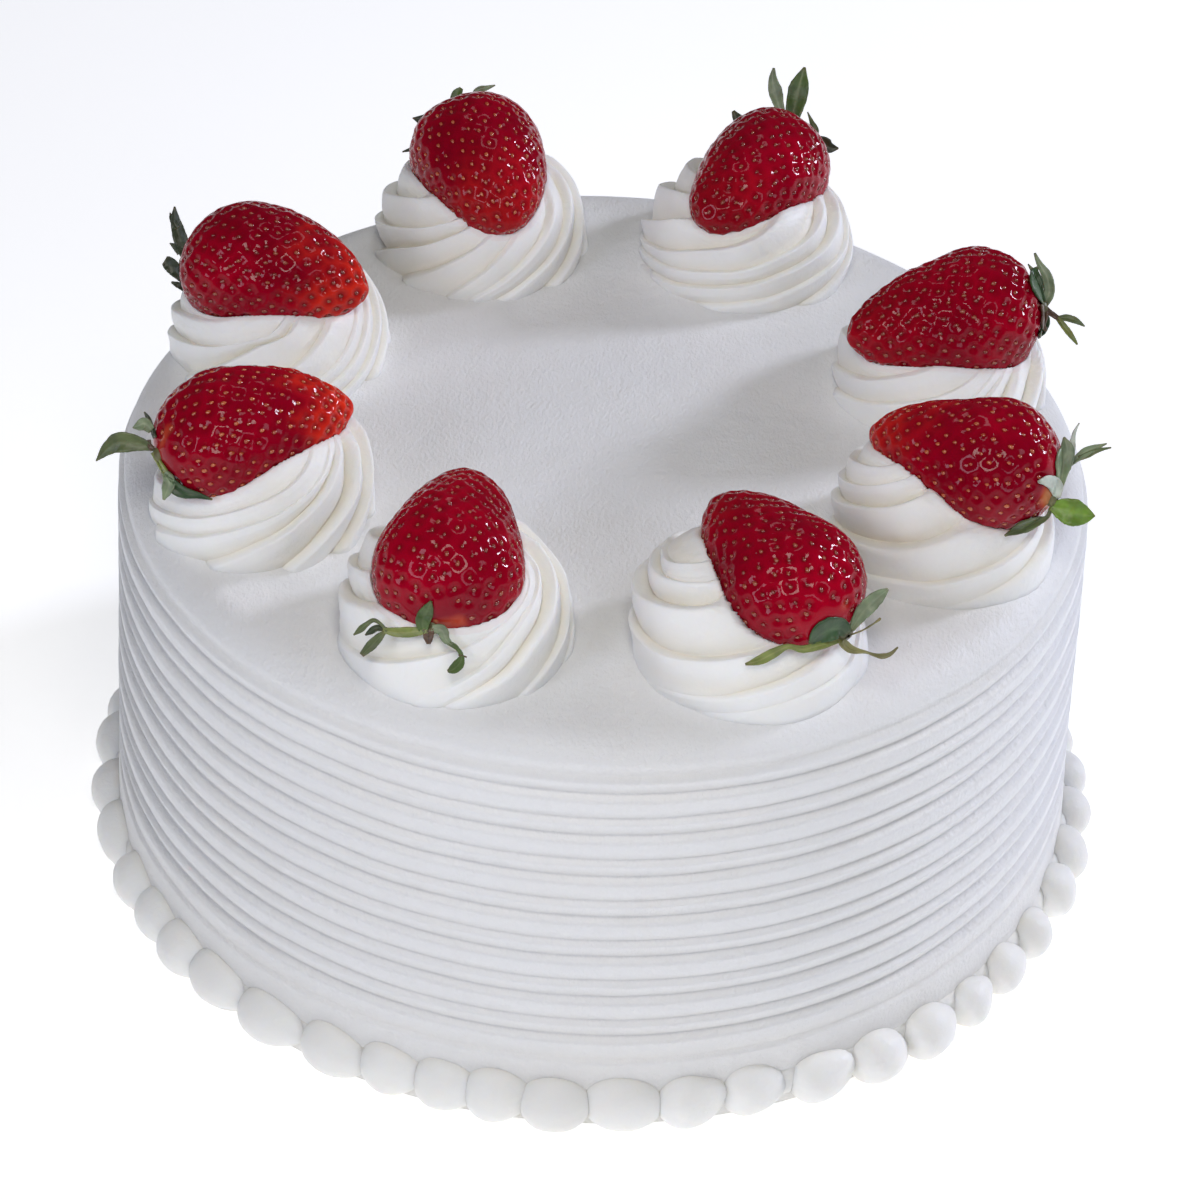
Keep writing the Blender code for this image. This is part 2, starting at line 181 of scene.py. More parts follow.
def noiseTexture(tree, place, scale, detail=2.0, roughness=0.5):
    values = {"Vector": place, "Scale": scale, "Detail": detail, "Roughness": roughness}
    return node(tree, "ShaderNodeTexNoise", values)["Fac"]


def namedVector(tree, name, kind="FLOAT_VECTOR"):
    return node(tree, "GeometryNodeInputNamedAttribute", {"Name": name}, data_type=kind)[0]


def ring(tree, sides, radius):
    values = {"Resolution": sides, "Radius": radius}
    return node(tree, "GeometryNodeCurvePrimitiveCircle", values, mode="RADIUS")[0]


def ball(tree, segments, rings):
    values = {"Segments": segments, "Rings": rings, "Radius": 1.0}
    return node(tree, "GeometryNodeMeshUVSphere", values)[0]


def movePoints(tree, geometry, **where):
    # Position says where the points go, Offset how far they move
    return node(tree, "GeometryNodeSetPosition", {"Geometry": geometry, **where})[0]


def newTree(name, sizes):
    # a Geometry Nodes tree with a geometry input, named number inputs and a material
    tree = bpy.data.node_groups.new(name, "GeometryNodeTree")
    tree.interface.new_socket("Geometry", in_out="INPUT", socket_type="NodeSocketGeometry")
    for label, value in sizes.items():
        kind = "NodeSocketInt" if isinstance(value, int) else "NodeSocketFloat"
        tree.interface.new_socket(label, in_out="INPUT", socket_type=kind)
    tree.interface.new_socket("Material", in_out="INPUT", socket_type="NodeSocketMaterial")
    tree.interface.new_socket("Geometry", in_out="OUTPUT", socket_type="NodeSocketGeometry")
    return tree, node(tree, "NodeGroupInput")


def finishTree(tree, geometry, material):
    real = node(tree, "GeometryNodeRealizeInstances", {"Geometry": geometry})[0]
    done = node(tree, "GeometryNodeSetMaterial", {"Geometry": real, "Material": material})[0]
    node(tree, "NodeGroupOutput", {"Geometry": done})


def runTree(name, mesh, tree, sizes, material):
    # put the tree on the mesh with its inputs set, and return the result as a plain mesh
    carrier = addObject(name, mesh)
    maker = carrier.modifiers.new(tree.name, "NODES")
    maker.node_group = tree
    values = {**sizes, "Material": material}
    for item in tree.interface.items_tree:
        if item.in_out == "INPUT" and item.name in values:
            maker[item.identifier] = values[item.name]
    made = finalMesh(name, carrier)
    made.materials.clear()
    made.shade_smooth()
    bpy.data.meshes.remove(mesh)
    return made


# finishes

icingLook = {
    "colour": (0.795, 0.795, 0.795),
    "glow": 0.12,
    "glowDepth": 0.001,
    "bubbles": 1300,
    "bubbleHeight": 1.2,
    # how the spatula's drag draws the bubbles out
    "drag": 0.55,
}

pipedLook = {
    "colour": (0.87, 0.868, 0.848),
    "glow": 0.4,
    "glowDepth": 0.0025,
    "bubbles": 900,
    "bubbleHeight": 0.4,
    "drag": 1.0,
}

creamLook = {
    "cloud": (0.79, 0.775, 0.75),
    # the colour of the painted warm shade in creases, comb marks and corners
    "paintedShadeTint": (0.85, 0.79, 0.65),
    "berryStain": (0.80, 0.42, 0.40),
    "roughness": 0.48,
    "grain": 0.00022,
}

berryLook = {
    "darkRed": (0.22, 0.0002, 0.0105),
    "red": (0.375, 0.0006, 0.015),
    # mixed in where the skin's attributes of these names say so, in this order
    "tip": (0.80, 0.034, 0.012),
    # painted shade: the pits round the seeds are darkened to this red
    "pit": (0.22, 0.0006, 0.008),
    "pale": (0.62, 0.10, 0.035),
    "flesh": (0.66, 0.36, 0.16),
    "roughness": 0.14,
    "gloss": 0.26,
}


def newMaterial(name, roughness, **sockets):
    material = bpy.data.materials.new(name)
    material.use_nodes = True
    shader = material.node_tree.nodes["Principled BSDF"].inputs
    for socket, value in {"Roughness": roughness, **sockets}.items():
        shader[socket.replace("_", " ")].default_value = value
    return material, material.node_tree, shader


def objectPlace(tree):
    return node(tree, "ShaderNodeTexCoord")["Object"]


def mixColours(tree, factor, first, second, blend="MIX"):
    first, second = ((*c, 1) if isinstance(c, tuple) else c for c in (first, second))
    values = {0: factor, 6: first, 7: second}
    return node(tree, "ShaderNodeMix", values, data_type="RGBA", blend_type=blend)[2]


def bump(tree, height, distance, **under):
    return node(tree, "ShaderNodeBump", {"Height": height, "Distance": distance, **under})[0]


def attribute(tree, name, output="Fac"):
    return node(tree, "ShaderNodeAttribute", attribute_name=name)[output]


def creamMaterial(name, look, stained):
    c = creamLook
    material, tree, shader = newMaterial(
        name,
        c["roughness"],
        Subsurface_Weight=look["glow"],
        Subsurface_Scale=look["glowDepth"],
        Subsurface_Radius=(1.0, 0.85, 0.65),
        Specular_IOR_Level=0.32,
    )
    place = objectPlace(tree)
    clouds = ramp(tree, noiseTexture(tree, place, 28, 3), 0.35, 0.75, 0.0, 0.35)
    tint = mixColours(tree, clouds, look["colour"], c["cloud"])
    # painted warm shade in creases, comb marks and corners, where the mesh's attribute says
    tint = mixColours(tree, attribute(tree, "paintedShade"), tint, c["paintedShadeTint"])
    if stained:
        tint = mixColours(tree, attribute(tree, "stain"), tint, c["berryStain"])
    tree.links.new(tint, shader["Base Color"])
    # soft lumps and fine air bubbles
    drawn = node(tree, "ShaderNodeMapping", {"Vector": place, "Scale": (1.0, look["drag"], 1.0)})[0]
    lumps = noiseTexture(tree, place, 160, 3.0, 0.55)
    bubbles = noiseTexture(tree, drawn, look["bubbles"], 2.0, 0.6)
    normal = bump(tree, lumps, c["grain"] * 2)
    normal = bump(tree, bubbles, c["grain"] * look["bubbleHeight"], Normal=normal)
    tree.links.new(normal, shader["Normal"])
    return material


def berryMaterial():
    material, tree, shader = newMaterial(
        "berrySkin",
        berryLook["roughness"],
        Subsurface_Weight=0.1,
        Subsurface_Scale=0.002,
        Subsurface_Radius=(1.0, 0.12, 0.08),
        Coat_Weight=berryLook["gloss"],
        Coat_Roughness=0.05,
        Specular_IOR_Level=0.04,
    )
    place = objectPlace(tree)
    patches = ramp(tree, noiseTexture(tree, place, 55, 3), 0.3, 0.7)
    red = mixColours(tree, patches, berryLook["darkRed"], berryLook["red"])
    for name in ("tip", "pit", "pale", "flesh"):
        red = mixColours(tree, attribute(tree, name), red, berryLook[name])
    tree.links.new(red, shader["Base Color"])
    tree.links.new(bump(tree, noiseTexture(tree, place, 700), 0.00003), shader["Normal"])
    return material


def seedMaterial(name, first, second):
    material, tree, shader = newMaterial(name, 0.25, Coat_Weight=0.7, Coat_Roughness=0.1)
    patches = ramp(tree, noiseTexture(tree, objectPlace(tree), 260, 1), 0.35, 0.65)
    tree.links.new(mixColours(tree, patches, first, second), shader["Base Color"])
    return material


def leafMaterial():
    look = {"Subsurface_Weight": 0.1, "Subsurface_Scale": 0.001}
    material, tree, shader = newMaterial("calyxLeaf", 0.42, **look)
    place = objectPlace(tree)
    # the painted colour, lighter and darker in patches
    shade = ramp(tree, noiseTexture(tree, place, 260, 3), 0.3, 0.7, 0.72, 1.25)
    grey = node(tree, "ShaderNodeCombineColor", dict.fromkeys(("Red", "Green", "Blue"), shade))[0]
    painted = attribute(tree, "leafColour", "Color")
    tree.links.new(mixColours(tree, 1.0, painted, grey, "MULTIPLY"), shader["Base Color"])
    tree.links.new(bump(tree, noiseTexture(tree, place, 1100), 0.0001), shader["Normal"])
    return material


icingFinish = creamMaterial("whippedIcing", icingLook, False)
pipedFinish = creamMaterial("pipedCream", pipedLook, True)
berryFinish = berryMaterial()
goldenSeed = seedMaterial("goldenSeed", (0.50, 0.115, 0.035), (0.36, 0.055, 0.02))
redSeed = seedMaterial("redSeed", (0.32, 0.07, 0.03), (0.20, 0.02, 0.012))
leafFinish = leafMaterial()
print("finishes ready")


# the iced cake: an outline turned round the axis, with the comb's marks in pairs

icedCake = {
    "height": 104.7,
    "baseRadius": 113.9,
    "topRadius": 110.9,
    "shoulder": 9.6,
    "pairs": 8,
    "firstGroove": 97.7,
    "pairPitch": 11.31,
    "ridgeWidth": 4.9,
    # how deep each mark is, and the height of its slope
    "upperMark": (1.35, 2.9),
    "lowerMark": (1.75, 3.8),
    "lastMark": (0.9, 3.6),
    "slopePower": 1.35,
    "ledge": 1.15,
    "sides": 300,
    # hand work: how far the wall goes in and out, and the comb's lines up and down
    "wallWave": 1.6,
    "lineWander": 0.9,
    # how close together the waves are, and how much they differ from line to line
    "waveScale": 2.2,
    "wanderScale": 1.4,
    "waveClimb": 14.0,
    # painted warm shade in the marks and near the foot: how strong each is, and the heights between which
    # the foot's shade fades
    "markShadeStrength": 0.12,
    "footShadeStrength": 0.16,
    "footShadeFade": (4.0, 34.0),
}


def sideRadius(height):
    c = icedCake
    radius = c["baseRadius"] + (c["topRadius"] - c["baseRadius"]) * height / c["height"]
    rise = height - (c["height"] - c["shoulder"])
    if rise <= 0:
        return radius
    return radius - c["shoulder"] + math.sqrt(max(c["shoulder"] ** 2 - rise**2, 0))


def combMarks(pair):
    # the two marks of a pair: the height of each, then its depth and slope
    c = icedCake
    upper = c["firstGroove"] - pair * c["pairPitch"]
    return (upper, c["upperMark"]), (upper - c["ridgeWidth"], c["lowerMark"])


def grooveDepth(height):
    # how far the comb has cut in: each mark slopes in going down, then steps out over a soft ledge
    c = icedCake
    depth = 0.0
    for pair in range(c["pairs"]):
        marks = combMarks(pair)
        if pair == c["pairs"] - 1:
            marks = [(marks[0][0], c["lastMark"])]
        for place, (cut, run) in marks:
            above = (height - place) / run
            below = (place - height) / c["ledge"]
            if 0 <= above < 1:
                depth = max(depth, cut * (1 - above) ** c["slopePower"])
            elif 0 < below < 1:
                depth = max(depth, cut * (0.5 + 0.5 * math.cos(math.pi * below)))
    return depth


def sideHeights():
    # rows down the wall, close together where the comb has cut
    c = icedCake
    steps = []
    for pair in range(c["pairs"]):
        marks = combMarks(pair)
        for place, (_, run) in marks:
            steps += [place + run * share for share in (1.05, 0.8, 0.6, 0.44, 0.3, 0.16, 0.0)]
            steps += [place - c["ledge"] * share for share in (0.3, 0.6, 1.0, 1.6)]
        steps.append(marks[1][0] - 2.2)
    steps += list(np.linspace(marks[0][0] - 2, 0.0, 16))
    steps = [height for height in steps if height < c["height"] - c["shoulder"]]
    steps.append(c["height"] - c["shoulder"])
    kept = []
    for height in sorted(set(steps), reverse=True):
        if not kept or kept[-1] - height > 0.09:
            kept.append(height)
    return kept


def cakeOutline():
    c = icedCake
    flat = c["topRadius"] - c["shoulder"]
    points = [(radius, c["height"]) for radius in np.linspace(0.02, flat, 66)]
    for step in range(1, 26):
        angle = math.radians(90) * step / 26
        height = c["height"] - c["shoulder"] * (1 - math.cos(angle))
        points.append((sideRadius(height) - grooveDepth(height), height))
    points += [(sideRadius(height) - grooveDepth(height), height) for height in sideHeights()]
    points += [(c["baseRadius"] * share, 0.0) for share in (0.8, 0.4, 0.0002)]
    return points


def turnedTree(sizes):
    c = icedCake
    tree, start = newTree("turnedIcing", sizes)
    outline = node(tree, "GeometryNodeMeshToCurve", {"Mesh": start["Geometry"]})[0]
    path = ring(tree, start["Sides"], start["Ring radius"])
    swept = node(tree, "GeometryNodeCurveToMesh", {"Curve": path, "Profile Curve": outline})[0]
    place = node(tree, "GeometryNodeInputPosition")[0]
    height = apartXyz(tree, place)["Z"]
    level = vectors(tree, "MULTIPLY", place, (1.0, 1.0, 0.0))
    outward = vectors(tree, "NORMALIZE", level)
    # the wall's wave changes from line to line, the lines wander together
    around = vectors(tree, "ADD", outward, xyz(tree, 0.0, 0.0, start["Seed"]))
    climb = xyz(tree, 0.0, 0.0, product(tree, height, c["waveClimb"]))
    wave = noiseTexture(tree, vectors(tree, "ADD", around, climb), c["waveScale"])
    beside = vectors(tree, "ADD", around, (7.0, 7.0, 0.0))
    wander = noiseTexture(tree, beside, c["wanderScale"])
    # the foot and the flat top stay as they are
    free = ramp(tree, height, 0.001, 0.012, kind="LINEAR")
    rim = ramp(tree, vectors(tree, "LENGTH", level), 0.05, 0.1, kind="LINEAR")
    free = product(tree, free, rim)
    out = product(tree, sums(tree, "SUBTRACT", wave, 0.5), start["Wall wave"], free)
    up = product(tree, sums(tree, "SUBTRACT", wander, 0.5), start["Line wander"], free)
    shift = vectors(tree, "ADD", vectors(tree, "SCALE", outward, out), xyz(tree, 0.0, 0.0, up))
    moved = movePoints(tree, swept, Offset=shift)
    joined = node(tree, "GeometryNodeMergeByDistance", {"Geometry": moved, "Distance": 0.00008})[0]
    finishTree(tree, joined, start["Material"])
    return tree


def makeCake():
    c = icedCake
    points = cakeOutline()
    # the outline is swept round a ring, so its radii are counted from that ring
    ringRadius = c["baseRadius"] * mm
    places = [(radius * mm - ringRadius, -height * mm, 0.0) for radius, height in points]
    outline = bpy.data.meshes.new("outline")
    outline.from_pydata(places, [(i, i + 1) for i in range(len(points) - 1)], [])
    sizes = {
        "Sides": c["sides"],
        "Ring radius": ringRadius,
        "Wall wave": c["wallWave"] * mm,
        "Line wander": c["lineWander"] * mm,
        "Seed": 3.0,
    }
    mesh = runTree("combedIcing", outline, turnedTree(sizes), sizes, icingFinish)
    bm = bmesh.new()
    bm.from_mesh(mesh)
    bmesh.ops.recalc_face_normals(bm, faces=bm.faces)
    bm.to_mesh(mesh)
    bm.free()
    places = meshPoints(mesh)
    onTop = places[:, 2] > (c["height"] - 2.0) * mm
    places[onTop, 2] -= topDip(places[onTop, 0] / mm, places[onTop, 1] / mm) * mm
    mesh.vertices.foreach_set("co", places.ravel())
    mesh.update()
    heights = places[:, 2] / mm
    # painted warm shade, in the comb's marks and on the lower wall near the foot
    mark = np.clip([grooveDepth(height) / 1.2 for height in heights], 0, 1) * c["markShadeStrength"]
    foot = (1 - smooth(heights, *c["footShadeFade"])) * c["footShadeStrength"]
    addAttribute(mesh, "paintedShade", mark + foot)
    addPiece("combedIcing", mesh, icingFinish, ["cake"])
    print("iced cake:", len(mesh.vertices), "points,", len(mesh.polygons), "faces")


# creases that the spatula left on the top: (start, end, bend) in millimetres, (width, depth)
topCreases = (
    ((-14, -16, 6, -30, 3), (1.6, 0.16)),
    ((8, 22, 44, 14, -4), (2.2, 0.14)),
    ((-52, 20, -30, 44, 4), (2.4, 0.14)),
    ((-34, -52, 8, -60, 3), (2.0, 0.12)),
    ((30, -28, 58, -20, -3), (1.8, 0.12)),
    ((-66, -6, -44, -24, 5), (2.2, 0.14)),
    ((-12, 52, 24, 60, 3), (2.0, 0.12)),
)


def topDip(x, y):
    # how far the top lies below its flat, in millimetres
    dip = np.zeros_like(x)
    for (x0, y0, x1, y1, bend), (width, depth) in topCreases:
        run = math.hypot(x1 - x0, y1 - y0)
        ux, uy = (x1 - x0) / run, (y1 - y0) / run
        along = (x - x0) * ux + (y - y0) * uy
        across = -(x - x0) * uy + (y - y0) * ux - bend * np.sin(np.pi * np.clip(along / run, 0, 1))
        fade = smooth(along / run, -0.05, 0.3) * (1 - smooth(along / run, 0.7, 1.05))
        near = across / width
        dip += depth * fade * np.where(near < 0, np.exp(-(near**2) * 4), np.exp(-(near**2) * 0.4))
    return dip


makeCake()


# the border: beads of piped cream round the foot

beadBorder = {
    "ring": 114.4,
    "centreHeight": 5.6,
    "step": 7.347,
    "seed": 7,
    # where a drawn peak points in the bead's own space, where it starts and how sharp it is
    "peakTowards": (0.34, -0.62, 0.7),
    "peakFrom": 0.76,
    "peakPower": 1.6,
    # how much painted warm shade the cream gets at the wall, at the floor, on a bead and on the bed
    "paintedShadeStrength": (0.4, 0.2, 0.1, 0.25),
    # a bead, the low roll of cream that the beads sit in, and how uneven they are
    "sizes": {
        "Length": 16.0,
        "Width": 12.8,
        "Height": 12.6,
        "Bed ring": 113.1,
        "Bed width": 4.4,
        "Bed height": 7.4,
        "Bed centre": 5.9,
        "Unevenness": 1.3,
    },
    # the beads that show, anticlockwise: angle, how far out, size, length, height, slim tail, peak
    "beads": (
        (172.4, -0.5, 1.0, 1.08, 1.0, 0.22, 0), (178.7, -0.5, 1.0, 1.1, 1.0, 0.2, 0),
        (187.5, -0.5, 1.0, 1.1, 1.0, 0.26, 0), (195.6, -0.6, 1.0, 1.1, 1.0, 0.24, 0),
        (204.6, -0.7, 1.02, 1.1, 1.0, 0.22, 0), (211.2, -0.8, 0.98, 1.12, 1.02, 0.26, 0),
        (217.8, -0.8, 1.0, 1.14, 1.02, 0.24, 0), (224.4, -0.9, 1.0, 1.16, 1.02, 0.28, 0),
        (232.9, -0.9, 1.0, 1.14, 1.02, 0.3, 0), (241.6, -1.1, 1.0, 1.1, 1.05, 0.22, 0),
        (248.8, -1.9, 0.98, 1.06, 1.14, 0.24, 0), (255.2, -1.5, 0.97, 1.06, 1.16, 0.16, 0),
        (261.2, -1.3, 0.97, 1.04, 1.16, 0.14, 0), (267.7, 0.1, 1.02, 0.96, 1.1, 0.06, 0),
        (275.3, -1.3, 0.95, 1.18, 1.16, 0.1, 0.05), (282.9, -0.8, 0.97, 1.02, 1.12, 0.12, 0.16),
        (290.3, -1.8, 0.92, 1.02, 1.2, 0.18, 0), (298.6, -0.5, 0.95, 1.06, 1.05, 0.2, 0.1),
        (306.0, 0.7, 0.97, 0.98, 1.02, 0.14, 0), (313.4, 1.2, 0.96, 1.0, 1.0, 0.22, 0),
        (320.9, 0.4, 0.87, 0.96, 1.0, 0.34, 0.1), (327.6, 0.5, 0.9, 0.98, 1.02, 0.3, 0),
        (334.9, 0.4, 0.89, 0.98, 1.05, 0.32, 0), (342.8, 0.8, 0.93, 0.96, 1.05, 0.22, 0),
        (349.9, 0.8, 0.94, 1.0, 1.02, 0.24, 0), (357.4, 0.8, 0.94, 1.0, 1.0, 0.2, 0),
        (364.1, 0.4, 0.95, 1.0, 1.0, 0.2, 0),
    ),
}


def beadTree(sizes):
    b = beadBorder
    tree, start = newTree("pipedBeads", sizes)
    values = {"Points": start["Geometry"], "Instance": ball(tree, 28, 20)}
    spread = node(tree, "GeometryNodeInstanceOnPoints", values)[0]
    real = node(tree, "GeometryNodeRealizeInstances", {"Geometry": spread})[0]
    centre, turn, size = (namedVector(tree, name) for name in ("centre", "turn", "size"))
    taper, peak = (namedVector(tree, name, "FLOAT") for name in ("taper", "peak"))
    width, height, length = (
        product(tree, start[name], half)
        for name, half in (("Width", 0.5), ("Height", -0.5), ("Length", 0.5))
    )
    # an egg along its length: fat at its head, slimmer at its tail, some drawn up to a small peak
    local = vectors(tree, "SUBTRACT", node(tree, "GeometryNodeInputPosition")[0], centre)
    apart = apartXyz(tree, local)
    girth = sums(tree, "SUBTRACT", 1.0, product(tree, apart[2], taper))
    towards = vectors(tree, "DOT_PRODUCT", local, b["peakTowards"])
    drawn = ramp(tree, towards, b["peakFrom"], 1.0, kind="LINEAR")
    drawn = sums(tree, "POWER", drawn, b["peakPower"])
    egg = xyz(
        tree,
        product(tree, apart[0], girth, width),
        product(tree, apart[2], length),
        product(tree, apart[1], girth, height),
    )
    egg = vectors(tree, "SCALE", egg, sums(tree, "ADD", 1.0, product(tree, drawn, peak)))
    values = {"Vector": vectors(tree, "MULTIPLY", egg, size), "Rotation": turn}
    turned = node(tree, "ShaderNodeVectorRotate", values, rotation_type="EULER_XYZ")[0]
    beads = movePoints(tree, real, Position=vectors(tree, "ADD", centre, turned))
    # the bed is an oval carried round the ring
    scale = xyz(tree, start["Bed width"], start["Bed height"], 1.0)
    oval = node(tree, "GeometryNodeTransform", {"Geometry": ring(tree, 20, 0.5), "Scale": scale})[0]
    values = {"Curve": ring(tree, 260, start["Bed ring"]), "Profile Curve": oval}
    bed = node(tree, "GeometryNodeCurveToMesh", values)[0]
    lift = xyz(tree, 0.0, 0.0, start["Bed centre"])
    bed = node(tree, "GeometryNodeTransform", {"Geometry": bed, "Translation": lift})[0]
    both = tree.nodes.new("GeometryNodeJoinGeometry")
    for part in (bed, beads):
        tree.links.new(part, both.inputs[0])
    # the cream sags and swells in its own way, and stands on the floor
    place = node(tree, "GeometryNodeInputPosition")[0]
    spot = vectors(tree, "ADD", place, xyz(tree, start["Seed"], 0.0, 0.0))
    lump = sums(tree, "SUBTRACT", noiseTexture(tree, spot, 95.0, 1.5), 0.5)
    push = product(tree, lump, start["Unevenness"])
    normal = node(tree, "GeometryNodeInputNormal")[0]
    swollen = movePoints(tree, both.outputs[0], Offset=vectors(tree, "SCALE", normal, push))
    standing = vectors(tree, "MAXIMUM", place, (-1.0, -1.0, 0.0))
    finishTree(tree, movePoints(tree, swollen, Position=standing), start["Material"])
    return tree


def makeBorder():
    b = beadBorder
    rng = random.Random(b["seed"])
    beads = list(b["beads"])
    gap = beads[0][0] + 360 - beads[-1][0]
    unseen = round(gap / b["step"])
    last = beads[-1][0]
    # out, size, length, height and tail of the beads that don't show
    ranges = ((-0.7, 0.5), (0.92, 1.02), (0.98, 1.1), (0.98, 1.1), (0.1, 0.28))
    for k in range(1, unseen):
        beads.append((last + gap * k / unseen, *(rng.uniform(*limits) for limits in ranges), 0))
    following = [bead[0] for bead in beads[1:]] + [beads[0][0] + 360]
    centres, turns, sizes = [], [], []
    for (angle, out, size, length, tall, _, _), nextAngle in zip(beads, following):
        wide = (nextAngle - angle) / b["step"]
        turn = math.radians(angle)
        reach = (b["ring"] + out) * mm
        height = b["centreHeight"] * size * tall * mm
        centres.append((reach * math.cos(turn), reach * math.sin(turn), height))
        tilts = [math.radians(rng.uniform(-limit, limit)) for limit in (9, 9, 7)]
        turns.append((tilts[0], tilts[1], turn + tilts[2]))
        girth = size * rng.uniform(0.98, 1.04)
        height = size * tall * rng.uniform(0.97, 1.04)
        sizes.append((girth, size * length * (0.55 + 0.45 * wide), height))
    points = bpy.data.meshes.new("beadPlaces")
    points.from_pydata(centres, [], [])
    for name, values in (("centre", centres), ("turn", turns), ("size", sizes)):
        addAttribute(points, name, values, "FLOAT_VECTOR")
    addAttribute(points, "taper", [bead[5] for bead in beads])
    addAttribute(points, "peak", [bead[6] for bead in beads])
    sizes = {label: size * mm for label, size in b["sizes"].items()}
    sizes["Seed"] = 2.0
    mesh = runTree("beadBorder", points, beadTree(sizes), sizes, pipedFinish)
    # painted warm shade where the beads meet the wall and the floor, and on the bed in the gaps between
    # them
    places = meshPoints(mesh) / mm
    slim = np.zeros(len(places), np.float32)
    mesh.attributes["taper"].data.foreach_get("value", slim)
    nearWall = 1 - smooth(np.hypot(places[:, 0], places[:, 1]) - sideRadius(8.0), -1.5, 2.2)
    low = 1 - smooth(places[:, 2], 0.3, 2.5)
    atWall, atFloor, onBead, onBed = b["paintedShadeStrength"]
    shadeAmount = nearWall * atWall + low * atFloor + np.where(slim > 0, onBead, onBed)
    addAttribute(mesh, "paintedShade", np.clip(shadeAmount, 0, 1))
    addAttribute(mesh, "stain", np.zeros(len(places)))
    addPiece("beadBorder", mesh, pipedFinish, ["border"])
    print("border:", len(beads), "beads,", len(mesh.vertices), "points")


makeBorder()


# rosettes and strawberries: where each sits, anticlockwise from the front right

toppings = (
    {
        "rosette": (-65.7, 80.1, 25.6),
        "slump": ((-4.5, 1.0), 1.5),
        "softFoot": 0.75,
        "folds": (
            (27, 267, 1.1), (112, 296, 1.1), (212, 250, 0.9), (240, 400, 0.8), (330, 250, 0.9),
        ),
        "berry": ((3.6, 1.7, 21.7), 124, 7, (43.8, 32.2, 28.4), 0.35, 1.45, (-0.5, -0.6)),
        "stem": (-4.4, -3.5),
        "redSeeds": True,
    },
    {
        "rosette": (-23.0, 82.0, 24.8),
        "slump": ((-2.5, 1.5), 2.0),
        "softFoot": 0.75,
        "folds": (
            (65, 160, 1.0), (94, 160, 1.1), (120, 160, 1.1), (152, 196, 1.1), (195, 330, 1.0),
            (265, 300, 0.9),
        ),
        "berry": ((2.8, 0.6, 23.0), 155, -1, (44.0, 31.6, 28.4), 0.32, 1.35, (0.1, 0.6)),
        "stem": (1.0, -3.1),
        "tip": 0.5,
    },
    {
        "rosette": (19.7, 81.8, 24.6),
        "folds": (
            (154, 144, 1.1), (183, 170, 1.0), (225, 130, 0.7), (250, 100, 0.8), (274, 85, 1.0),
            (303, 85, 1.1), (340, 100, 1.0), (20, 120, 1.0), (60, 130, 1.0), (105, 140, 1.0),
        ),
        "berry": ((-1.2, -2.1, 20.8), -160, -3, (46.2, 32.4, 30.2), 0.30, 1.6, (1.4, 0.6)),
        "stem": (4.7, 1.1),
        "leavesInFront": True,
        "redSeeds": True,
        "pits": (1.62, 0.85),
    },
    {
        "rosette": (68.3, 86.6, 25.5),
        "folds": (
            (95, 120, 1.3), (149, 95, 1.7), (158, 160, 1.3), (168, 235, 1.1), (200, 250, 1.3),
            (240, 290, 1.0), (300, 230, 1.0), (0, 150, 1.0), (45, 130, 1.0),
        ),
        "berry": ((-0.4, 1.8, 20.7), -117, 2, (46.4, 29.8, 27.0), 0.36, 1.66, (1.6, 0.1)),
        "stem": (0, 0),
        "redSeeds": True,
    },
    {
        "rosette": (112.0, 86.8, 25.4),
        "folds": (
            (107, 140, 1.3), (146, 155, 1.7), (189, 114, 1.8), (222, 95, 1.0), (253, 70, 0.9),
            (266, 90, 0.7), (281, 120, 0.8), (312, 125, 1.0), (350, 130, 1.0), (25, 135, 1.0),
            (65, 140, 1.0),
        ),
        "berry": ((0.6, -1.2, 21.2), -72, -3, (44.7, 32.4, 29.8), 0.35, 1.66, (-0.4, 0.4)),
        "stem": (0, 0),
        "tip": 0.25,
    },
    {
        "rosette": (157.2, 84.0, 25.4),
        "folds": (
            (158, 174, 1.4), (213, 87, 1.2), (244, 100, 1.2), (270, 108, 0.9), (284, 112, 0.8),
            (304, 118, 1.0), (328, 120, 1.1), (2, 125, 1.0), (40, 130, 1.0), (80, 150, 1.0),
            (120, 160, 1.0),
        ),
        "berry": ((-0.6, -3.4, 21.8), -12, 0, (44.6, 31.4, 28.4), 0.34, 1.8, (1.2, 1.6)),
        "stem": (1.1, -1.0),
        "tip": 0.8,
        "redSeeds": True,
        "pits": (1.5, 0.75),
    },
    {
        "rosette": (201.9, 81.9, 24.8),
        "slump": ((2.5, 1.5), 0.5),
        "folds": (
            (172, 170, 0.8), (200, 165, 0.8), (243, 115, 1.0), (286, 90, 1.3), (316, 100, 1.2),
            (352, 115, 1.0), (28, 120, 1.0), (64, 130, 1.0), (100, 140, 1.0), (136, 155, 1.0),
        ),
        "berry": ((-0.7, -1.2, 21.5), 28, 2, (45.6, 30.6, 27.2), 0.33, 1.74, (1.8, 0.6)),
        "stem": (1.0, 0),
        "tip": 1.0,
        "pits": (1.45, 0.72),
    },
    {
        "rosette": (247.3, 79.1, 25.4),
        "slump": ((-0.5, 1.5), 2.5),
        "crisp": 0.5,
        "softFoot": 0.75,
        "folds": (
            (120, 172, 1.1), (182, 209, 1.0), (251, 113, 0.7), (268, 129, 1.1), (305, 150, 1.2),
            (340, 140, 1.1), (20, 140, 1.0), (60, 140, 1.0), (95, 150, 1.0),
        ),
        "berry": ((-0.7, 1.5, 22.0), 83, 9, (43.0, 32.6, 29.8), 0.33, 1.55, (0.2, -0.2)),
        "stem": (1.0, -2.3),
        "redSeeds": True,
    },
)

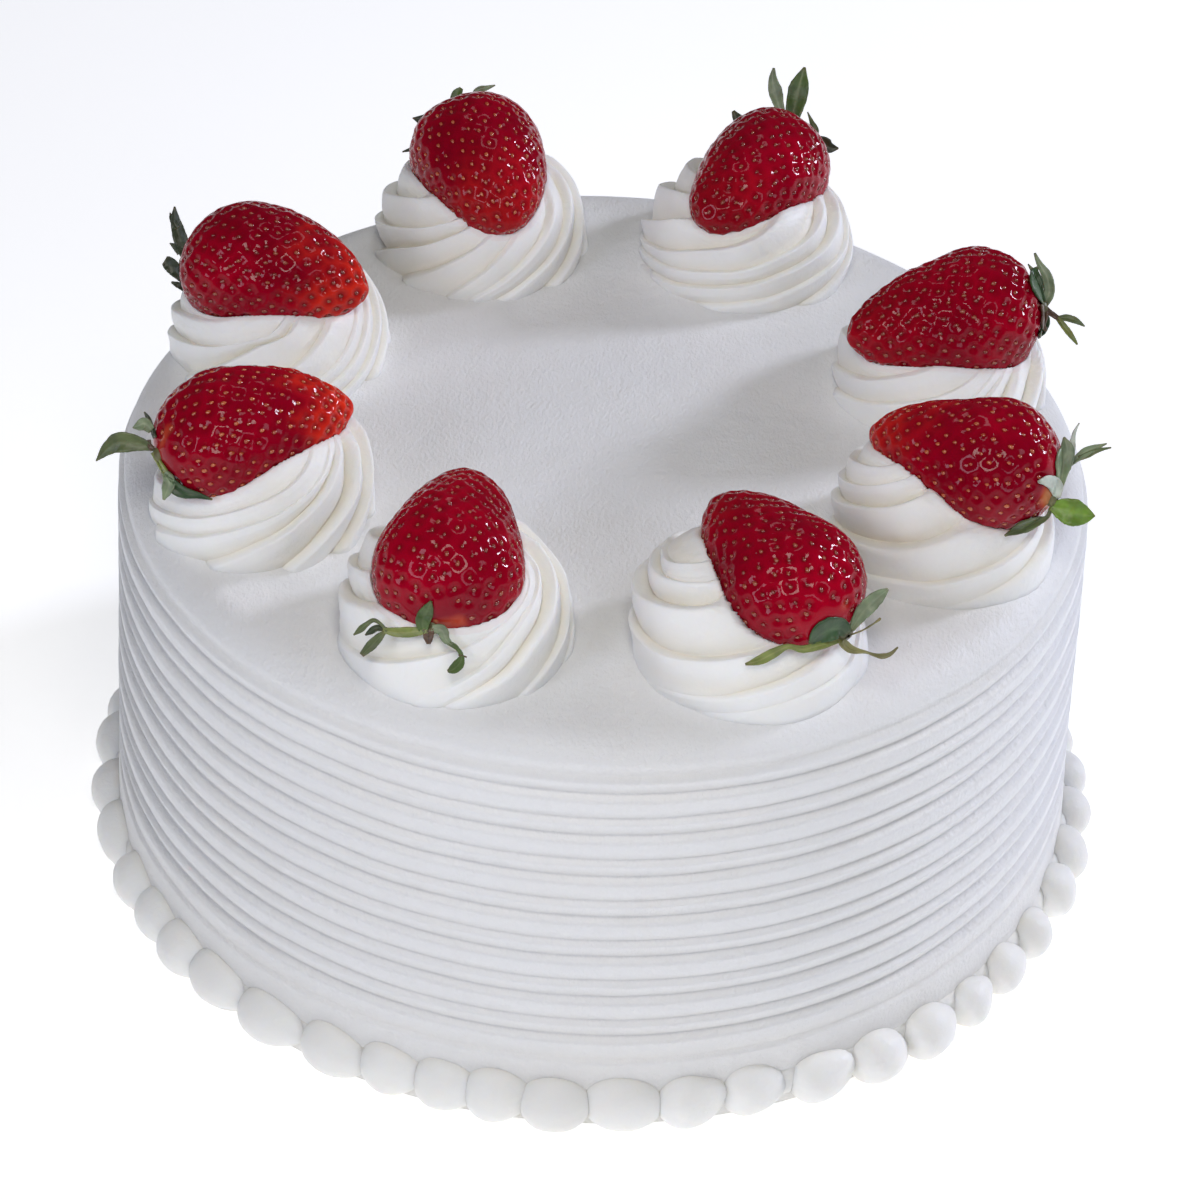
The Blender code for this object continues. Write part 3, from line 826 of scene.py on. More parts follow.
berryShape = {
    "shoulder": 0.9,
    "tip": 0.57,
    "columns": 176,
    "rows": 120,
    # how wide and deep the pits are, unless a berry has its own
    "pits": (1.3, 0.62),
    # how orange the tip is, unless a berry has its own
    "orange": 0.1,
    "seedSpacing": 3.55,
    "seedSize": {"Length": 0.62, "Width": 0.42, "Height": 0.3},
    "seedUnevenness": 0.18,
    "seed": 40,
}


def berryFrame(topping):
    # where the berry lies and which way it points, and the middle of its rosette's foot
    shift, heading, rise = topping["berry"][:3]
    angle, reach, _ = topping["rosette"]
    angle = math.radians(angle)
    centre = Vector((math.cos(angle) * reach, math.sin(angle) * reach, icedCake["height"]))
    turn = turnAbout("Z", heading) @ turnAbout("Y", -rise)
    return np.array(Matrix.Translation(centre + Vector(shift)) @ turn), np.array(centre)


def berryGirth(share, widest, fullness):
    share = np.clip(share, 0, 1)
    shoulder = np.sqrt(np.clip(1 - (1 - share / widest) ** 2, 0, 1)) ** berryShape["shoulder"]
    taper = np.clip((share - widest) / (1 - widest), 0, 1)
    return np.where(share < widest, shoulder, np.clip(1 - taper**fullness, 0, 1) ** berryShape["tip"])


def berrySurface(topping, share, around):
    # points in millimetres on the berry's plain skin
    _, _, _, (length, width, thickness), widest, fullness, bow = topping["berry"]
    girth = berryGirth(share, widest, fullness)
    bend = 1 - (2 * share - 1) ** 2
    x = (share - 0.5) * length
    y = bend * bow[0] + girth * width / 2 * np.cos(around)
    z = bend * bow[1] + girth * thickness / 2 * np.sin(around)
    return np.stack(np.broadcast_arrays(x, y, z), axis=-1)


def toWorld(matrix, points):
    return points @ matrix[:3, :3].T + matrix[:3, 3]


def berryShell(topping, matrix, points, clear):
    # for points in world millimetres: their places in the berry's own space, whether they lie along
    # it, its girth there, how far to its side they are, and its middle height and half thickness
    _, _, _, (length, width, thickness), widest, fullness, bow = topping["berry"]
    local = (points - matrix[:3, 3]) @ matrix[:3, :3]
    share = local[:, 0] / (length + 2 * clear) + 0.5
    girth = berryGirth(share, widest, fullness)
    bend = 1 - (2 * np.clip(share, 0, 1) - 1) ** 2
    sideways = (local[:, 1] - bend * bow[0]) / np.maximum(girth * width / 2 + clear, 0.01)
    along = (share > 0) & (share < 1)
    return local, along, girth, sideways, bend * bow[1], girth * thickness / 2 + clear


def insideBerry(topping, matrix, points, clear):
    # which points the berry holds down, their own places, and how high its underside is there
    local, along, girth, sideways, middle, half = berryShell(topping, matrix, points, clear)
    rise = half * np.sqrt(np.clip(1 - sideways**2, 0, 1))
    under = middle - rise
    held = along & (np.abs(sideways) < 1) & (girth > 0.02)
    held &= (local[:, 2] > under) & (local[:, 2] < middle + rise + 30)
    return held, local, under


# rosettes

swirl = {
    "height": 23.5,
    "squareness": 2.3,
    "twistPower": 1.6,
    "skirt": 3.0,
    "rows": 110,
    "columns": 28,
    # how deep the creases are for their width, and the deepest
    "depth": 0.3,
    "deepest": 3.2,
    # how far the lips stand up, where they are on a fold, and how thin they are
    "lean": 0.4,
    "lip": 0.24,
    "crisp": 0.4,
    # how much of the relief is lost at the foot
    "softFoot": 0.3,
    "streak": 0.07,
    "wobble": (0.9, 0.9, 0.5),
    # how strong the painted warm shade in the creases is
    "paintedShadeStrength": 0.6,
    "juice": 0.12,
    # how much of the relief goes where the berry weighs on the cream, and how far from it
    "press": 0.8,
    "pressReach": (0.4, 1.2, 2.0, 2.8, 3.6),
    "seed": 11,
}


def moundOutline(share):
    power = 2 / swirl["squareness"]
    radius = np.sin(np.radians(90) * share) ** power
    height = np.clip(np.cos(np.radians(90) * share), 0, 1) ** power
    return radius, height


def foldStarts(folds, turned):
    # where each crease lies at one height, kept in order so that no fold crosses its neighbour
    starts = sorted(rim + climb * turned for rim, climb, _ in folds)
    least = 360 / len(starts) * 0.3
    for _ in range(3):
        for index in range(1, len(starts)):
            starts[index] = max(starts[index], starts[index - 1] + least)
        over = starts[-1] + least - (starts[0] + 360)
        if over <= 0:
            break
        middle = sum(starts) / len(starts)
        shrink = (360 - least) / (starts[-1] - starts[0])
        starts = [middle + (start - middle) * shrink for start in starts]
    return starts


def foldRelief(across, crisp):
    # down one fold, from the crease above it (0) over its rounded lip to the crease below (1)
    lip = swirl["lip"] * (1.4 - crisp)
    rises = np.sin(np.pi / 2 * np.clip(across / lip, 0, 1)) ** 0.8
    left = np.clip((1 - across) / (1 - lip), 0, 1)
    pillow = np.sin(np.pi / 2 * left) ** 0.85
    petal = 0.3 * left + 0.7 * left**1.6
    return np.where(across < lip, rises, pillow + (petal - pillow) * crisp)


def leanOver(topping, points):
    # some mounds lean to one side and stand higher
    tilt, taller = topping.get("slump", ((0, 0), 0))
    leant = points.copy()
    leant[..., 2] *= 1 + taller / swirl["height"]
    leant[..., :2] += np.array(tilt) * (np.clip(leant[..., 2:3] / swirl["height"], 0, 1.2) ** 1.2)
    return leant


def ringPoints(reach, angles, height):
    return np.stack(np.broadcast_arrays(reach * np.cos(angles), reach * np.sin(angles), height), axis=-1)


def foldDepths(starts, nexts, out, up):
    # how wide each fold is, measured square to its crease: a wide fold is a deep one
    climbed = np.hypot(np.gradient(out), np.gradient(up))[:, None]
    swept = np.radians(np.abs(np.gradient(starts, axis=0))) * out[:, None]
    widths = np.radians(nexts - starts) * out[:, None] * climbed / np.hypot(climbed, swept)
    for _ in range(6):
        widths[1:-1] = (widths[:-2] + 2 * widths[1:-1] + widths[2:]) / 4
    return np.minimum(widths * swirl["depth"], swirl["deepest"])


def makeRosette(number, topping):
    s = swirl
    rng = random.Random(s["seed"] + number)
    matrix, centre = berryFrame(topping)
    folds = sorted(topping["folds"], key=lambda fold: fold[0] + fold[1] * 0.5)
    count = len(folds)
    streaks = [(rng.uniform(0, 6.3), rng.uniform(2.2, 3.6), rng.uniform(0, 6.3)) for _ in folds]
    share = np.linspace(0.015, 1.0, s["rows"]) ** 0.85
    out, up = moundOutline(share)
    out, up = out * topping["rosette"][2], up * s["height"]
    turned = 1 - share ** s["twistPower"]
    starts = np.array([foldStarts(folds, turn) for turn in turned])
    nexts = np.roll(starts, -1, axis=1)
    nexts[:, -1] += 360
    deep = foldDepths(starts, nexts, out, up) * [fold[2] for fold in folds]
    # columns gather at the creases
    even = np.linspace(0, 1, s["columns"], endpoint=False)
    spots = even - 0.1 * np.sin(2 * np.pi * even)
    height = foldRelief(spots, topping.get("crisp", s["crisp"]))
    rings, reliefs = [], []
    for row, part in enumerate(share):
        foot = 1 - topping.get("softFoot", s["softFoot"]) * float(smooth(part, 0.8, 1.0))
        slope = math.radians(90) * part
        for index, (turn, many, shift) in enumerate(streaks):
            angles = np.radians(starts[row, index] + (nexts[row, index] - starts[row, index]) * spots)
            first, second = deep[row, index], deep[row, (index + 1) % count]
            # the berry's weight flattens the folds beside it
            plain = leanOver(topping, ringPoints(out[row], angles, up[row])) + centre
            pressed = sum(insideBerry(topping, matrix, plain, clear)[0] for clear in s["pressReach"])
            pressed = pressed / len(s["pressReach"]) * s["press"]
            depth = (first + (second - first) * spots) * foot * (1 - pressed)
            lines = 0.5 * np.sin(spots * 6.28 * many + turn)
            lines += 0.35 * np.sin(spots * 6.28 * many * 2.3 + shift)
            push = (height - 0.7) * depth + lines * s["streak"] * np.minimum(depth, 1)
            # lips stand up in front of the crease behind them
            lean = height**3 * s["lean"] * depth
            rise = up[row] + push * math.cos(slope) + lean * math.sin(slope)
            rings.append(ringPoints(out[row] + push * math.sin(slope), angles, rise))
            reliefs.append(1 - (1 - height) * np.clip(depth / 1.5, 0, 1))
    rings = leanOver(topping, np.array(rings).reshape(s["rows"], -1, 3))
    skirt = rings[-1:].copy()
    skirt[..., 2] = -s["skirt"]
    rings = np.concatenate([rings, skirt])
    relief = np.concatenate(reliefs + [np.ones(skirt.shape[1])])
    # soft unevenness of hand piping
    flat = rings.reshape(-1, 3)
    shift = Vector((number * 9.0, 0, 0))
    wobble = np.array([noise.noise_vector(Vector(point) * 0.075 + shift) for point in flat])
    flat += wobble * np.array(s["wobble"]) * np.clip(flat[:, 2:3] / 6 + 0.4, 0, 1)
    world = flat + centre
    # where the berry is pressed in, the cream follows its underside
    held, local, under = insideBerry(topping, matrix, world, 0.0)
    local[held, 2] = np.minimum(local[held, 2], under[held] + 0.5)
    world[held] = toWorld(matrix, local[held])
    rings = world.reshape(rings.shape)
    bottom = centre - np.array([0, 0, s["skirt"]])
    mesh = ringMesh(f"rosette{number}", rings * mm, rings[0].mean(axis=0) * mm, bottom * mm)
    # painted warm shade in the creases, and juice where the cream is close to the skin
    near, _, _ = insideBerry(topping, matrix, world, 1.0)
    shadeAmount = np.clip(1 - relief * 1.25, 0, 1) * s["paintedShadeStrength"]
    addAttribute(mesh, "paintedShade", np.append(shadeAmount, [0, 0]))
    addAttribute(mesh, "stain", np.append(np.where(near & ~held, s["juice"], 0.0), [0, 0]))
    addPiece(f"rosette{number}", mesh, pipedFinish, [f"rosette_{number}"])


for number, topping in enumerate(toppings, start=1):
    makeRosette(number, topping)
print("rosettes made")


# strawberries


def seedPlaces(topping):
    # a spiral of seeds from the stem end to the tip, evenly spaced over the skin
    _, _, _, (length, width, thickness), widest, fullness, _ = topping["berry"]
    shares = np.linspace(0, 1, 1500)
    girth = berryGirth(shares, widest, fullness) * (width + thickness) / 4
    run = np.hypot(np.diff(shares * length), np.diff(girth))
    area = np.concatenate([[0], np.cumsum((girth[1:] + girth[:-1]) * math.pi * run)])
    cell = berryShape["seedSpacing"] ** 2 * 0.87
    count = int(area[-1] / cell)
    places = []
    for index in range(count):
        share = float(np.interp((index + 0.5) * area[-1] / count, area, shares))
        places.append((share, index * math.radians(137.508)))
    return places


def facingOut(normals, points, middle):
    # unit normals that point away from the middle
    normals = normals / np.maximum(np.linalg.norm(normals, axis=1)[:, None], 1e-9)
    return normals * np.sign((normals * (points - middle)).sum(axis=1))[:, None]


def swelling(number, points):
    # gentle lumps of the skin, in millimetres outward
    shift = Vector((0, number * 5.0, 0))
    return np.array([noise.noise(Vector(point) * 0.09 + shift) for point in points]) * 0.6 + 0.15


def seedField(number, topping, middle):
    # the seeds' places on the plain skin, and the ways outward and to the tip there
    rng = random.Random(berryShape["seed"] + number)
    places = [
        (share + rng.uniform(-0.006, 0.006), turn + rng.uniform(-0.07, 0.07))
        for share, turn in seedPlaces(topping)
    ]
    share, turn = np.array([place for place in places if 0.022 < place[0] < 0.992]).T
    seeds = berrySurface(topping, share, turn)
    along = berrySurface(topping, np.clip(share + 0.004, 0, 1), turn)
    along = along - berrySurface(topping, share - 0.004, turn)
    around = berrySurface(topping, share, turn + 0.02) - berrySurface(topping, share, turn - 0.02)
    normal = facingOut(np.cross(around, along), seeds, middle)
    return seeds, normal, along / np.linalg.norm(along, axis=1)[:, None]


def makeSeeds(number, topping, matrix, seeds, normal, along, sunk):
    s = berryShape
    points = bpy.data.meshes.new("seedPlaces")
    places = seeds + normal * (swelling(number, seeds) - sunk + 0.1)[:, None]
    points.from_pydata((toWorld(matrix, places) * mm).tolist(), [], [])
    addAttribute(points, "normal", normal @ matrix[:3, :3].T, "FLOAT_VECTOR")
    addAttribute(points, "heading", along @ matrix[:3, :3].T, "FLOAT_VECTOR")
    sizes = {label: size * mm for label, size in s["seedSize"].items()}
    sizes.update({"Unevenness": s["seedUnevenness"], "Seed": number})
    finish = redSeed if topping.get("redSeeds") else goldenSeed
    mesh = runTree(f"seeds{number}", points, seedTree(sizes), sizes, finish)
    addPiece(f"seeds{number}", mesh, finish, [])


def makeBerry(number, topping):
    s = berryShape
    rows, columns = s["rows"], s["columns"]
    matrix, _ = berryFrame(topping)
    middle = np.array([0, *topping["berry"][6]])
    seeds, normal, along = seedField(number, topping, middle)
    share = (1 - np.cos(np.linspace(0, np.pi, rows + 2)[1:-1])) / 2
    turns = np.linspace(0, 2 * np.pi, columns, endpoint=False)
    grid = berrySurface(topping, share[:, None], turns[None, :])
    down = np.roll(grid, -1, axis=0) - np.roll(grid, 1, axis=0)
    down[0], down[-1] = grid[1] - grid[0], grid[-1] - grid[-2]
    side = np.roll(grid, -1, axis=1) - np.roll(grid, 1, axis=1)
    # the skin is a cushion between the seeds, with a pit round each
    flat = grid.reshape(-1, 3)
    skin = facingOut(np.cross(side, down).reshape(-1, 3), flat, middle)
    parts = [flat[start : start + 4000] for start in range(0, len(flat), 4000)]
    gaps = [np.linalg.norm(part[:, None] - seeds[None], axis=2).min(axis=1) for part in parts]
    pitWidth, pitDepth = topping.get("pits", s["pits"])
    pit = np.exp(-((np.concatenate(gaps) / pitWidth) ** 2.2))
    world = toWorld(matrix, flat + skin * (swelling(number, flat) - pit * pitDepth)[:, None])

    def turnedBack(values):
        # each row runs the other way round, so that the faces look outward
        return values.reshape(rows, columns, -1)[:, ::-1]

    ends = toWorld(matrix, berrySurface(topping, np.array([0.0, 1.0]), np.zeros(2)))
    mesh = ringMesh(f"strawberry{number}", turnedBack(world) * mm, ends[0] * mm, ends[1] * mm)
    # pale, uneven skin at the stem, and an orange tip on some
    stem = toWorld(matrix, np.array([[-topping["berry"][3][0] / 2 + 0.3, *topping["stem"]]]))[0]
    fromStem = np.linalg.norm(world - stem, axis=1)
    uneven = np.array([noise.noise(Vector(point) * 0.16) for point in world])
    tip = topping.get("tip", s["orange"])
    ripe = smooth(np.repeat(share, columns) + turnedBack(uneven).ravel() * 0.2, 0.56, 0.98) * tip
    pale = 1 - smooth(fromStem + uneven * 9, 1.0, 5.5)
    flesh = 1 - smooth(fromStem + uneven * 6, 0.5, 3.5)
    addAttribute(mesh, "tip", np.append(ripe, [0, tip]))
    # the pits' darker red is painted shade
    addAttribute(mesh, "pit", np.append(turnedBack(pit) * 0.8, [0, 0]))
    addAttribute(mesh, "pale", np.append(turnedBack(pale) * 0.55, [0.5, 0]))
    addAttribute(mesh, "flesh", np.append(turnedBack(flesh) * 0.5, [0.5, 0]))
    addPiece(f"strawberry{number}", mesh, berryFinish, [f"strawberry_{number}"])
    makeSeeds(number, topping, matrix, seeds, normal, along, pitDepth)
    return len(seeds)


def seedTree(sizes):
    tree = bpy.data.node_groups.get("scatteredSeeds")
    if tree:
        return tree
    tree, start = newTree("scatteredSeeds", sizes)
    apart = apartXyz(tree, node(tree, "GeometryNodeInputPosition")[0])
    # a drop, pointed towards the berry's tip, lying along X
    point = sums(tree, "SUBTRACT", 1.0, product(tree, apart[0], 0.35))
    drop = xyz(
        tree,
        product(tree, apart[0], start["Length"]),
        product(tree, apart[1], point, start["Width"]),
        product(tree, apart[2], point, start["Height"]),
    )
    seed = movePoints(tree, ball(tree, 8, 5), Position=drop)
    turn = "FunctionNodeAlignEulerToVector"
    up = node(tree, turn, {"Vector": namedVector(tree, "normal")}, axis="Z")[0]
    values = {"Rotation": up, "Vector": namedVector(tree, "heading")}
    both = node(tree, turn, values, axis="X", pivot_axis="Z")[0]
    values = {
        "Min": sums(tree, "SUBTRACT", 1.0, start["Unevenness"]),
        "Max": sums(tree, "ADD", 1.0, start["Unevenness"]),
        "Seed": start["Seed"],
    }
    uneven = node(tree, "FunctionNodeRandomValue", values, data_type="FLOAT")[1]
    values = {"Points": start["Geometry"], "Instance": seed, "Rotation": both, "Scale": uneven}
    spread = node(tree, "GeometryNodeInstanceOnPoints", values)[0]
    finishTree(tree, spread, start["Material"])
    return tree


seedTotal = sum(makeBerry(number, topping) for number, topping in enumerate(toppings, start=1))
print("strawberries made, with", seedTotal, "seeds")


# calyxes

leafShape = {
    "fold": 0.28,
    "thickness": 0.36,
    "rows": 26,
    "columns": 9,
    "dry": (0.16, 0.13, 0.05),
    "clearance": 0.35,
    # how far, and how often at most, a leaf is moved out of the berry or the cream
    "nudge": 0.22,
    "nudges": 70,
    "hub": 1.9,
    "hubSides": 14,
    # how far along the stem, and its share of the hub's radius
    "hubOutline": ((0.9, 0.9), (0.5, 1.0), (-0.3, 1.0), (-0.8, 0.7), (-1.1, 0.3)),
    "hubColour": (0.13, 0.12, 0.05),
}

leafTones = {
    # linear colours of the blade, and of its rib and veins
    "pale": ((0.17, 0.22, 0.12), (0.25, 0.29, 0.18)),
    "white": ((0.44, 0.49, 0.42), (0.50, 0.54, 0.46)),
    "sage": ((0.085, 0.112, 0.038), (0.14, 0.165, 0.075)),
    "leaf": ((0.06, 0.105, 0.02), (0.11, 0.155, 0.05)),
    "bright": ((0.14, 0.26, 0.02), (0.20, 0.33, 0.05)),
    "olive": ((0.17, 0.21, 0.045), (0.26, 0.27, 0.09)),
    "straw": ((0.22, 0.21, 0.08), (0.13, 0.12, 0.03)),
    "deep": ((0.028, 0.068, 0.02), (0.06, 0.115, 0.042)),
    "dark": ((0.024, 0.036, 0.012), (0.045, 0.06, 0.025)),
    "brown": ((0.10, 0.05, 0.025), (0.05, 0.025, 0.015)),
}

leafTraces = {
    # right, up and near of each point of a leaf's rib from the stem end, and the width there
    1: (
        ("pale", (1.2, 0.7, 0.5, 1.1), (2.9, 3.5, 1, 2.7), (4.8, 5.8, 1.5, 3.4),
         (6.9, 7.7, 1, 2.7), (9, 9.3, 0, 0.6)),
        ("deep", (0.3, -0.1, 1.5, 1.7), (-1.3, 1.1, 3, 4.2), (-3.9, 0.7, 4, 5.1),
         (-6, -0.5, 3.5, 3.6), (-7.7, -2.2, 2.5, 0.8)),
        ("olive", (-0.5, -1, 0, 1.3), (-5.1, -2.4, 0, 1.7), (-9.3, -3.3, 0.5, 1.5),
         (-12.3, -2.7, 1, 1.1), (-15.5, -4.1, 1, 2.1), (-18.4, -5.6, 0.5, 1.9), (-21.3, -6.4, 0, 0.4)),
        ("straw", (-1.3, -0.5, 0, 1.3), (-0.1, -2.4, 0.5, 1.9), (1.6, -3.5, 0.5, 1.5),
         (4.1, -3.9, 0.5, 0.6), (6, -4.5, 1, 0.6), (7.7, -4.8, 1, 1.1), (9.4, -4.3, 1.5, 0.8),
         (10.9, -2.9, 2, 0.2)),
        ("straw", (1.2, -0.3, 0.5, 0.3), (3.7, 0.7, 1, 0.2), (5.8, 2, 1.5, 0.2),
         (6.9, 2.8, 2, 0.5), (7.3, 3.2, 2, 0.3)),
    ),
    2: (
        ("pale", (1.5, 2.1, 0, 1.1), (1.8, 5.1, 0.5, 2.6), (2.2, 8, 1, 3.9),
         (2.9, 10.6, 1, 3.3), (2.4, 13.4, 0.5, 0.4)),
        ("white", (2.9, 8.4, 0.5, 2), (3.9, 10.8, 0, 2), (4.4, 12.8, 0, 1.1),
         (4.8, 14.5, -0.5, 0.7), (5.9, 16.5, -1, 0.2)),
        ("pale", (3.1, 7.1, 0, 1.1), (4.8, 8.4, -0.5, 1.3), (7.2, 10.2, -1, 2),
         (9.4, 11.2, -1.5, 1.3), (12, 12.1, -2, 0.2)),
        ("sage", (5.7, 8.8, -0.5, 1.1), (7.9, 9.7, -1, 1.3), (10, 10.6, -1, 0.9), (12.9, 11.2, -1.5, 0.2)),
        ("white", (0.9, 0.1, 1, 1.3), (0.2, 2.7, 2.5, 3.3), (-1.7, 3.6, 3, 2.6), (-4.1, 3.4, 3, 0.4)),
        ("bright", (-0.6, -1.6, 0, 1.7), (1.8, -2.3, 0.5, 4.6), (4.2, -3.1, 1, 5.9),
         (6.8, -3.6, 0.5, 4.1), (9.2, -3.8, 0, 0.2)),
        ("sage", (-0.4, -2, 0, 0.9), (-1.3, -4, 0, 0.9), (-3.7, -5.1, 0.5, 2),
         (-6.9, -6.4, 1, 2.6), (-10.9, -8.1, 1, 0.4)),
    ),
    3: (
        ("pale", (0.2, 0.3, 0, 1.8), (1.5, 3.5, 0.5, 2.5), (0.9, 7.2, 0.5, 2.3),
         (-0.8, 10.2, 0, 1.2), (-1.7, 12.5, -0.5, 0.5)),
        ("deep", (0.2, 0.7, 1, 1.4), (-1.2, 3, 1.5, 2.8), (-1.9, 5.6, 2, 3.5),
         (-1.9, 7.9, 1.5, 2.1), (-1.2, 9.2, 1, 0.5)),
        ("pale", (-1, 6.2, 1, 1.4), (-2.4, 8.5, 1, 0.9), (-3.3, 9.9, 0.5, 0.2)),
        ("brown", (-0.3, 0.3, 0.5, 1.8), (1.5, -1.1, 0.5, 1.4), (3.2, -2.3, 0.5, 1.2), (4.1, -3, 0.5, 0.9)),
        ("sage", (3.6, -2.5, 0.5, 0.9), (5.7, -2.5, 0.5, 1.6), (7.8, -3.2, 0.5, 1.4), (9.8, -4.4, 0, 0.2)),
        ("olive", (3.4, -2.5, 0.5, 0.9), (5, -4.6, 1, 1.4), (6.6, -6.7, 1, 1.2), (8, -8.7, 1, 0.3)),
        ("brown", (-0.3, 0.3, 1, 1.6), (0.2, -2.1, 1, 1.8), (-0.1, -4.1, 1, 1.4), (0.9, -5.5, 0.5, 0.5)),
        ("deep", (-0.3, -0.7, -1, 1.4), (1.1, -2.5, -3, 1.8), (0.6, -4.8, -6, 2.1), (-1.2, -7.1, -8, 0.5)),
    ),
    4: (
        ("pale", (-0.8, 1.6, -1, 2), (-3, 7.4, -1.5, 2.2), (-4, 11.3, -2, 3.4),
         (-4.7, 14.5, -2, 2.2), (-4.5, 17.5, -2, 0.5)),
        ("leaf", (-0.1, 0.1, -1, 2.4), (0.1, 5, -1.5, 3.4), (1.1, 9.9, -2, 4.9),
         (1.9, 13.5, -2, 4.4), (3.1, 17.7, -2, 0.5)),
        ("sage", (2.1, -0.4, -1, 1.5), (5.5, 1.6, -1.5, 2), (4.8, 4.3, -2, 1), (3.8, 6.7, -2, 0.2)),
        ("dark", (1.6, -0.9, -1, 2), (7, -0.9, -1.5, 3.2), (9.2, -2.1, -1.5, 2.7), (11.4, -2.3, -1.5, 0.2)),
        ("dark", (-1.6, 0.1, -1, 2), (-10.6, 3.5, -1.5, 2.4),
         (-13.3, 5, -1.5, 2.4), (-14.5, 6.9, -1.5, 0.7)),
        ("leaf", (-0.1, 0.1, -2, 1.5), (1.1, 2.1, -7, 3.4), (2.1, 3.5, -12, 2.4), (2.6, 4, -14, 0.2)),
    ),
    5: (
        ("dark", (-0.6, 0, -1, 1.5), (-5, 0.4, -1.5, 2.9), (-8.6, 0, -2, 3.4), (-12, 0.7, -2, 0.2)),
        ("leaf", (-0.1, 0, -1, 1.5), (-1.1, 3.4, -1.5, 3.2), (-1.1, 6.3, -2, 2.9), (-0.1, 8, -2, 1)),
        ("pale", (0.4, 0.4, -1, 1.2), (2.1, 4.3, -1.5, 1.7), (4, 7.3, -2, 1.7),
         (6, 8, -2, 1.2), (8.2, 8.7, -2, 0.2)),
        ("dark", (-2.5, -1.5, -1, 1.5), (-7.4, -4, -1.5, 2),
         (-11.6, -6.6, -2, 1.2), (-14.5, -7.6, -2, 0.2)),
        ("leaf", (0.4, -0.5, -1, 1.5), (4.3, 0.9, -3, 2.9), (8.2, 1.4, -5, 2.2), (10.9, 0.7, -6, 0.2)),
        ("sage", (-0.1, 0, -2, 1.5), (-1.3, 1.9, -7, 3.4), (-2, 3.4, -11, 2.4), (-2.5, 4.1, -13, 0.2)),
    ),
    6: (
        ("dark", (0.4, 0.9, -0.5, 1.9), (-0.5, 3.9, -1, 3.2), (-1.5, 7.2, -1.5, 3),
         (-2.2, 10, -1.5, 2.1), (-2.4, 13, -1.5, 0.3)),
        ("dark", (-1.7, 7.9, -1.5, 1.4), (-2.9, 10, -1.5, 1.2), (-3.5, 11.6, -2, 0.2)),
        ("dark", (-1, 2.3, -1, 1.9), (-2.4, 3.7, -1, 1.2), (-3.5, 4.4, -1, 0.2)),
        ("dark", (-0.3, -4.2, -1, 1.6), (-2.4, -1.6, -1.5, 3.2), (-4, 0, -1.5, 3), (-4.7, 0.5, -1.5, 1.9)),
        ("dark", (-0.3, -5.8, -1, 1.6), (-1.9, -5.1, -1, 1.2), (-3.1, -4.6, -1, 0.3)),
        ("leaf", (0.2, 0, -2, 1.4), (-0.5, 0, -7, 2.8), (-0.3, -1.4, -12, 2.1), (0.2, -3, -14, 0.2)),
    ),
    7: (
        ("sage", (-1, 1.5, 0, 0.9), (-3.4, 2.4, 0.5, 2.6), (-5.8, 2.8, 1, 3.9),
         (-8.6, 2.8, 1, 4.4), (-11, 1.5, 0.5, 2.8), (-13.6, -1.1, 0, 0.2)),
        ("dark", (-0.7, 3.9, 0, 0.9), (-1.6, 6.5, 0, 1.1), (-2.3, 8.3, 0, 0.9), (-3.1, 9.6, 0, 0.2)),
        ("pale", (-1.4, 5.6, 0.5, 1.7), (-2.9, 6.9, 1, 2.8), (-4.2, 6.5, 1, 2), (-5.5, 6.1, 0.5, 0.2)),
        ("olive", (-1.2, 0.8, 0.5, 0.9), (0.1, -1.3, 0.5, 1.1), (1.7, -3.7, 1, 1.5)),
        ("pale", (1, -3.1, 1, 0.9), (2.5, -5.3, 1.5, 2.6), (2.1, -7.4, 1.5, 2.4), (1.2, -9.6, 1, 0.4)),
        ("deep", (1.9, -3.9, 0.5, 0.9), (3.6, -6.8, 1, 2.6), (5.8, -8.1, 1, 2.4),
         (8.8, -8.7, 1, 1.3), (12.1, -9.6, 1, 0.3)),
        ("brown", (-1.2, 1.3, 0.5, 1.1), (-1.8, 2.2, 0.5, 0.9), (-2, 3.5, 0.5, 0.7)),
    ),
    8: (
        ("leaf", (-1.5, -1.1, 1, 1.5), (-1.7, 1.4, 2.5, 3.1), (-0.7, 3.5, 3, 2.9), (0.2, 5.6, 3, 0.4)),
        ("olive", (-0.7, -0.5, 1, 1.3), (-4.2, -0.9, 1, 2.1), (-7.2, -0.9, 1, 1.9), (-10.1, -0.5, 1, 1)),
        ("sage", (-9.2, -0.7, 1, 0.6), (-10.5, 0.8, 1, 0.6), (-12, 1.6, 1, 0.8),
         (-13.4, 0.8, 1, 1), (-14.7, -0.3, 1, 1.3), (-16.2, -1.5, 1, 0.2)),
        ("dark", (-9.2, -0.3, 0.5, 0.8), (-11.3, 0, 0.5, 1.3),
         (-12.6, -0.7, 0.5, 1.3), (-13.8, -1.5, 0.5, 0.2)),
        ("sage", (-9.7, -0.9, 1, 0.8), (-10.9, -2.1, 1, 1.7), (-12.6, -3.8, 1, 2.1), (-14.5, -5.7, 1, 1)),
        ("pale", (0.2, 0, 1, 1.3), (2.3, -0.5, 1.5, 2.3), (3.1, -2.3, 1.5, 1.7), (4.4, -3.6, 1, 0.8)),
        ("leaf", (3.7, -3, 1, 0.8), (5.4, -4.2, 1, 0.8), (6.4, -5.9, 1, 1),
         (5.8, -7.6, 1, 2.3), (4.4, -8.8, 1, 1.7), (3.5, -9, 1, 0.2)),
        ("brown", (-0.5, -0.3, 0.5, 2.5), (-0.5, -1.9, 1, 2.1), (-0.5, -3.4, 1, 0.8)),
        ("brown", (5.8, -5.5, 1, 0.3), (7.5, -6.1, 1, 0.2)),
    ),
}


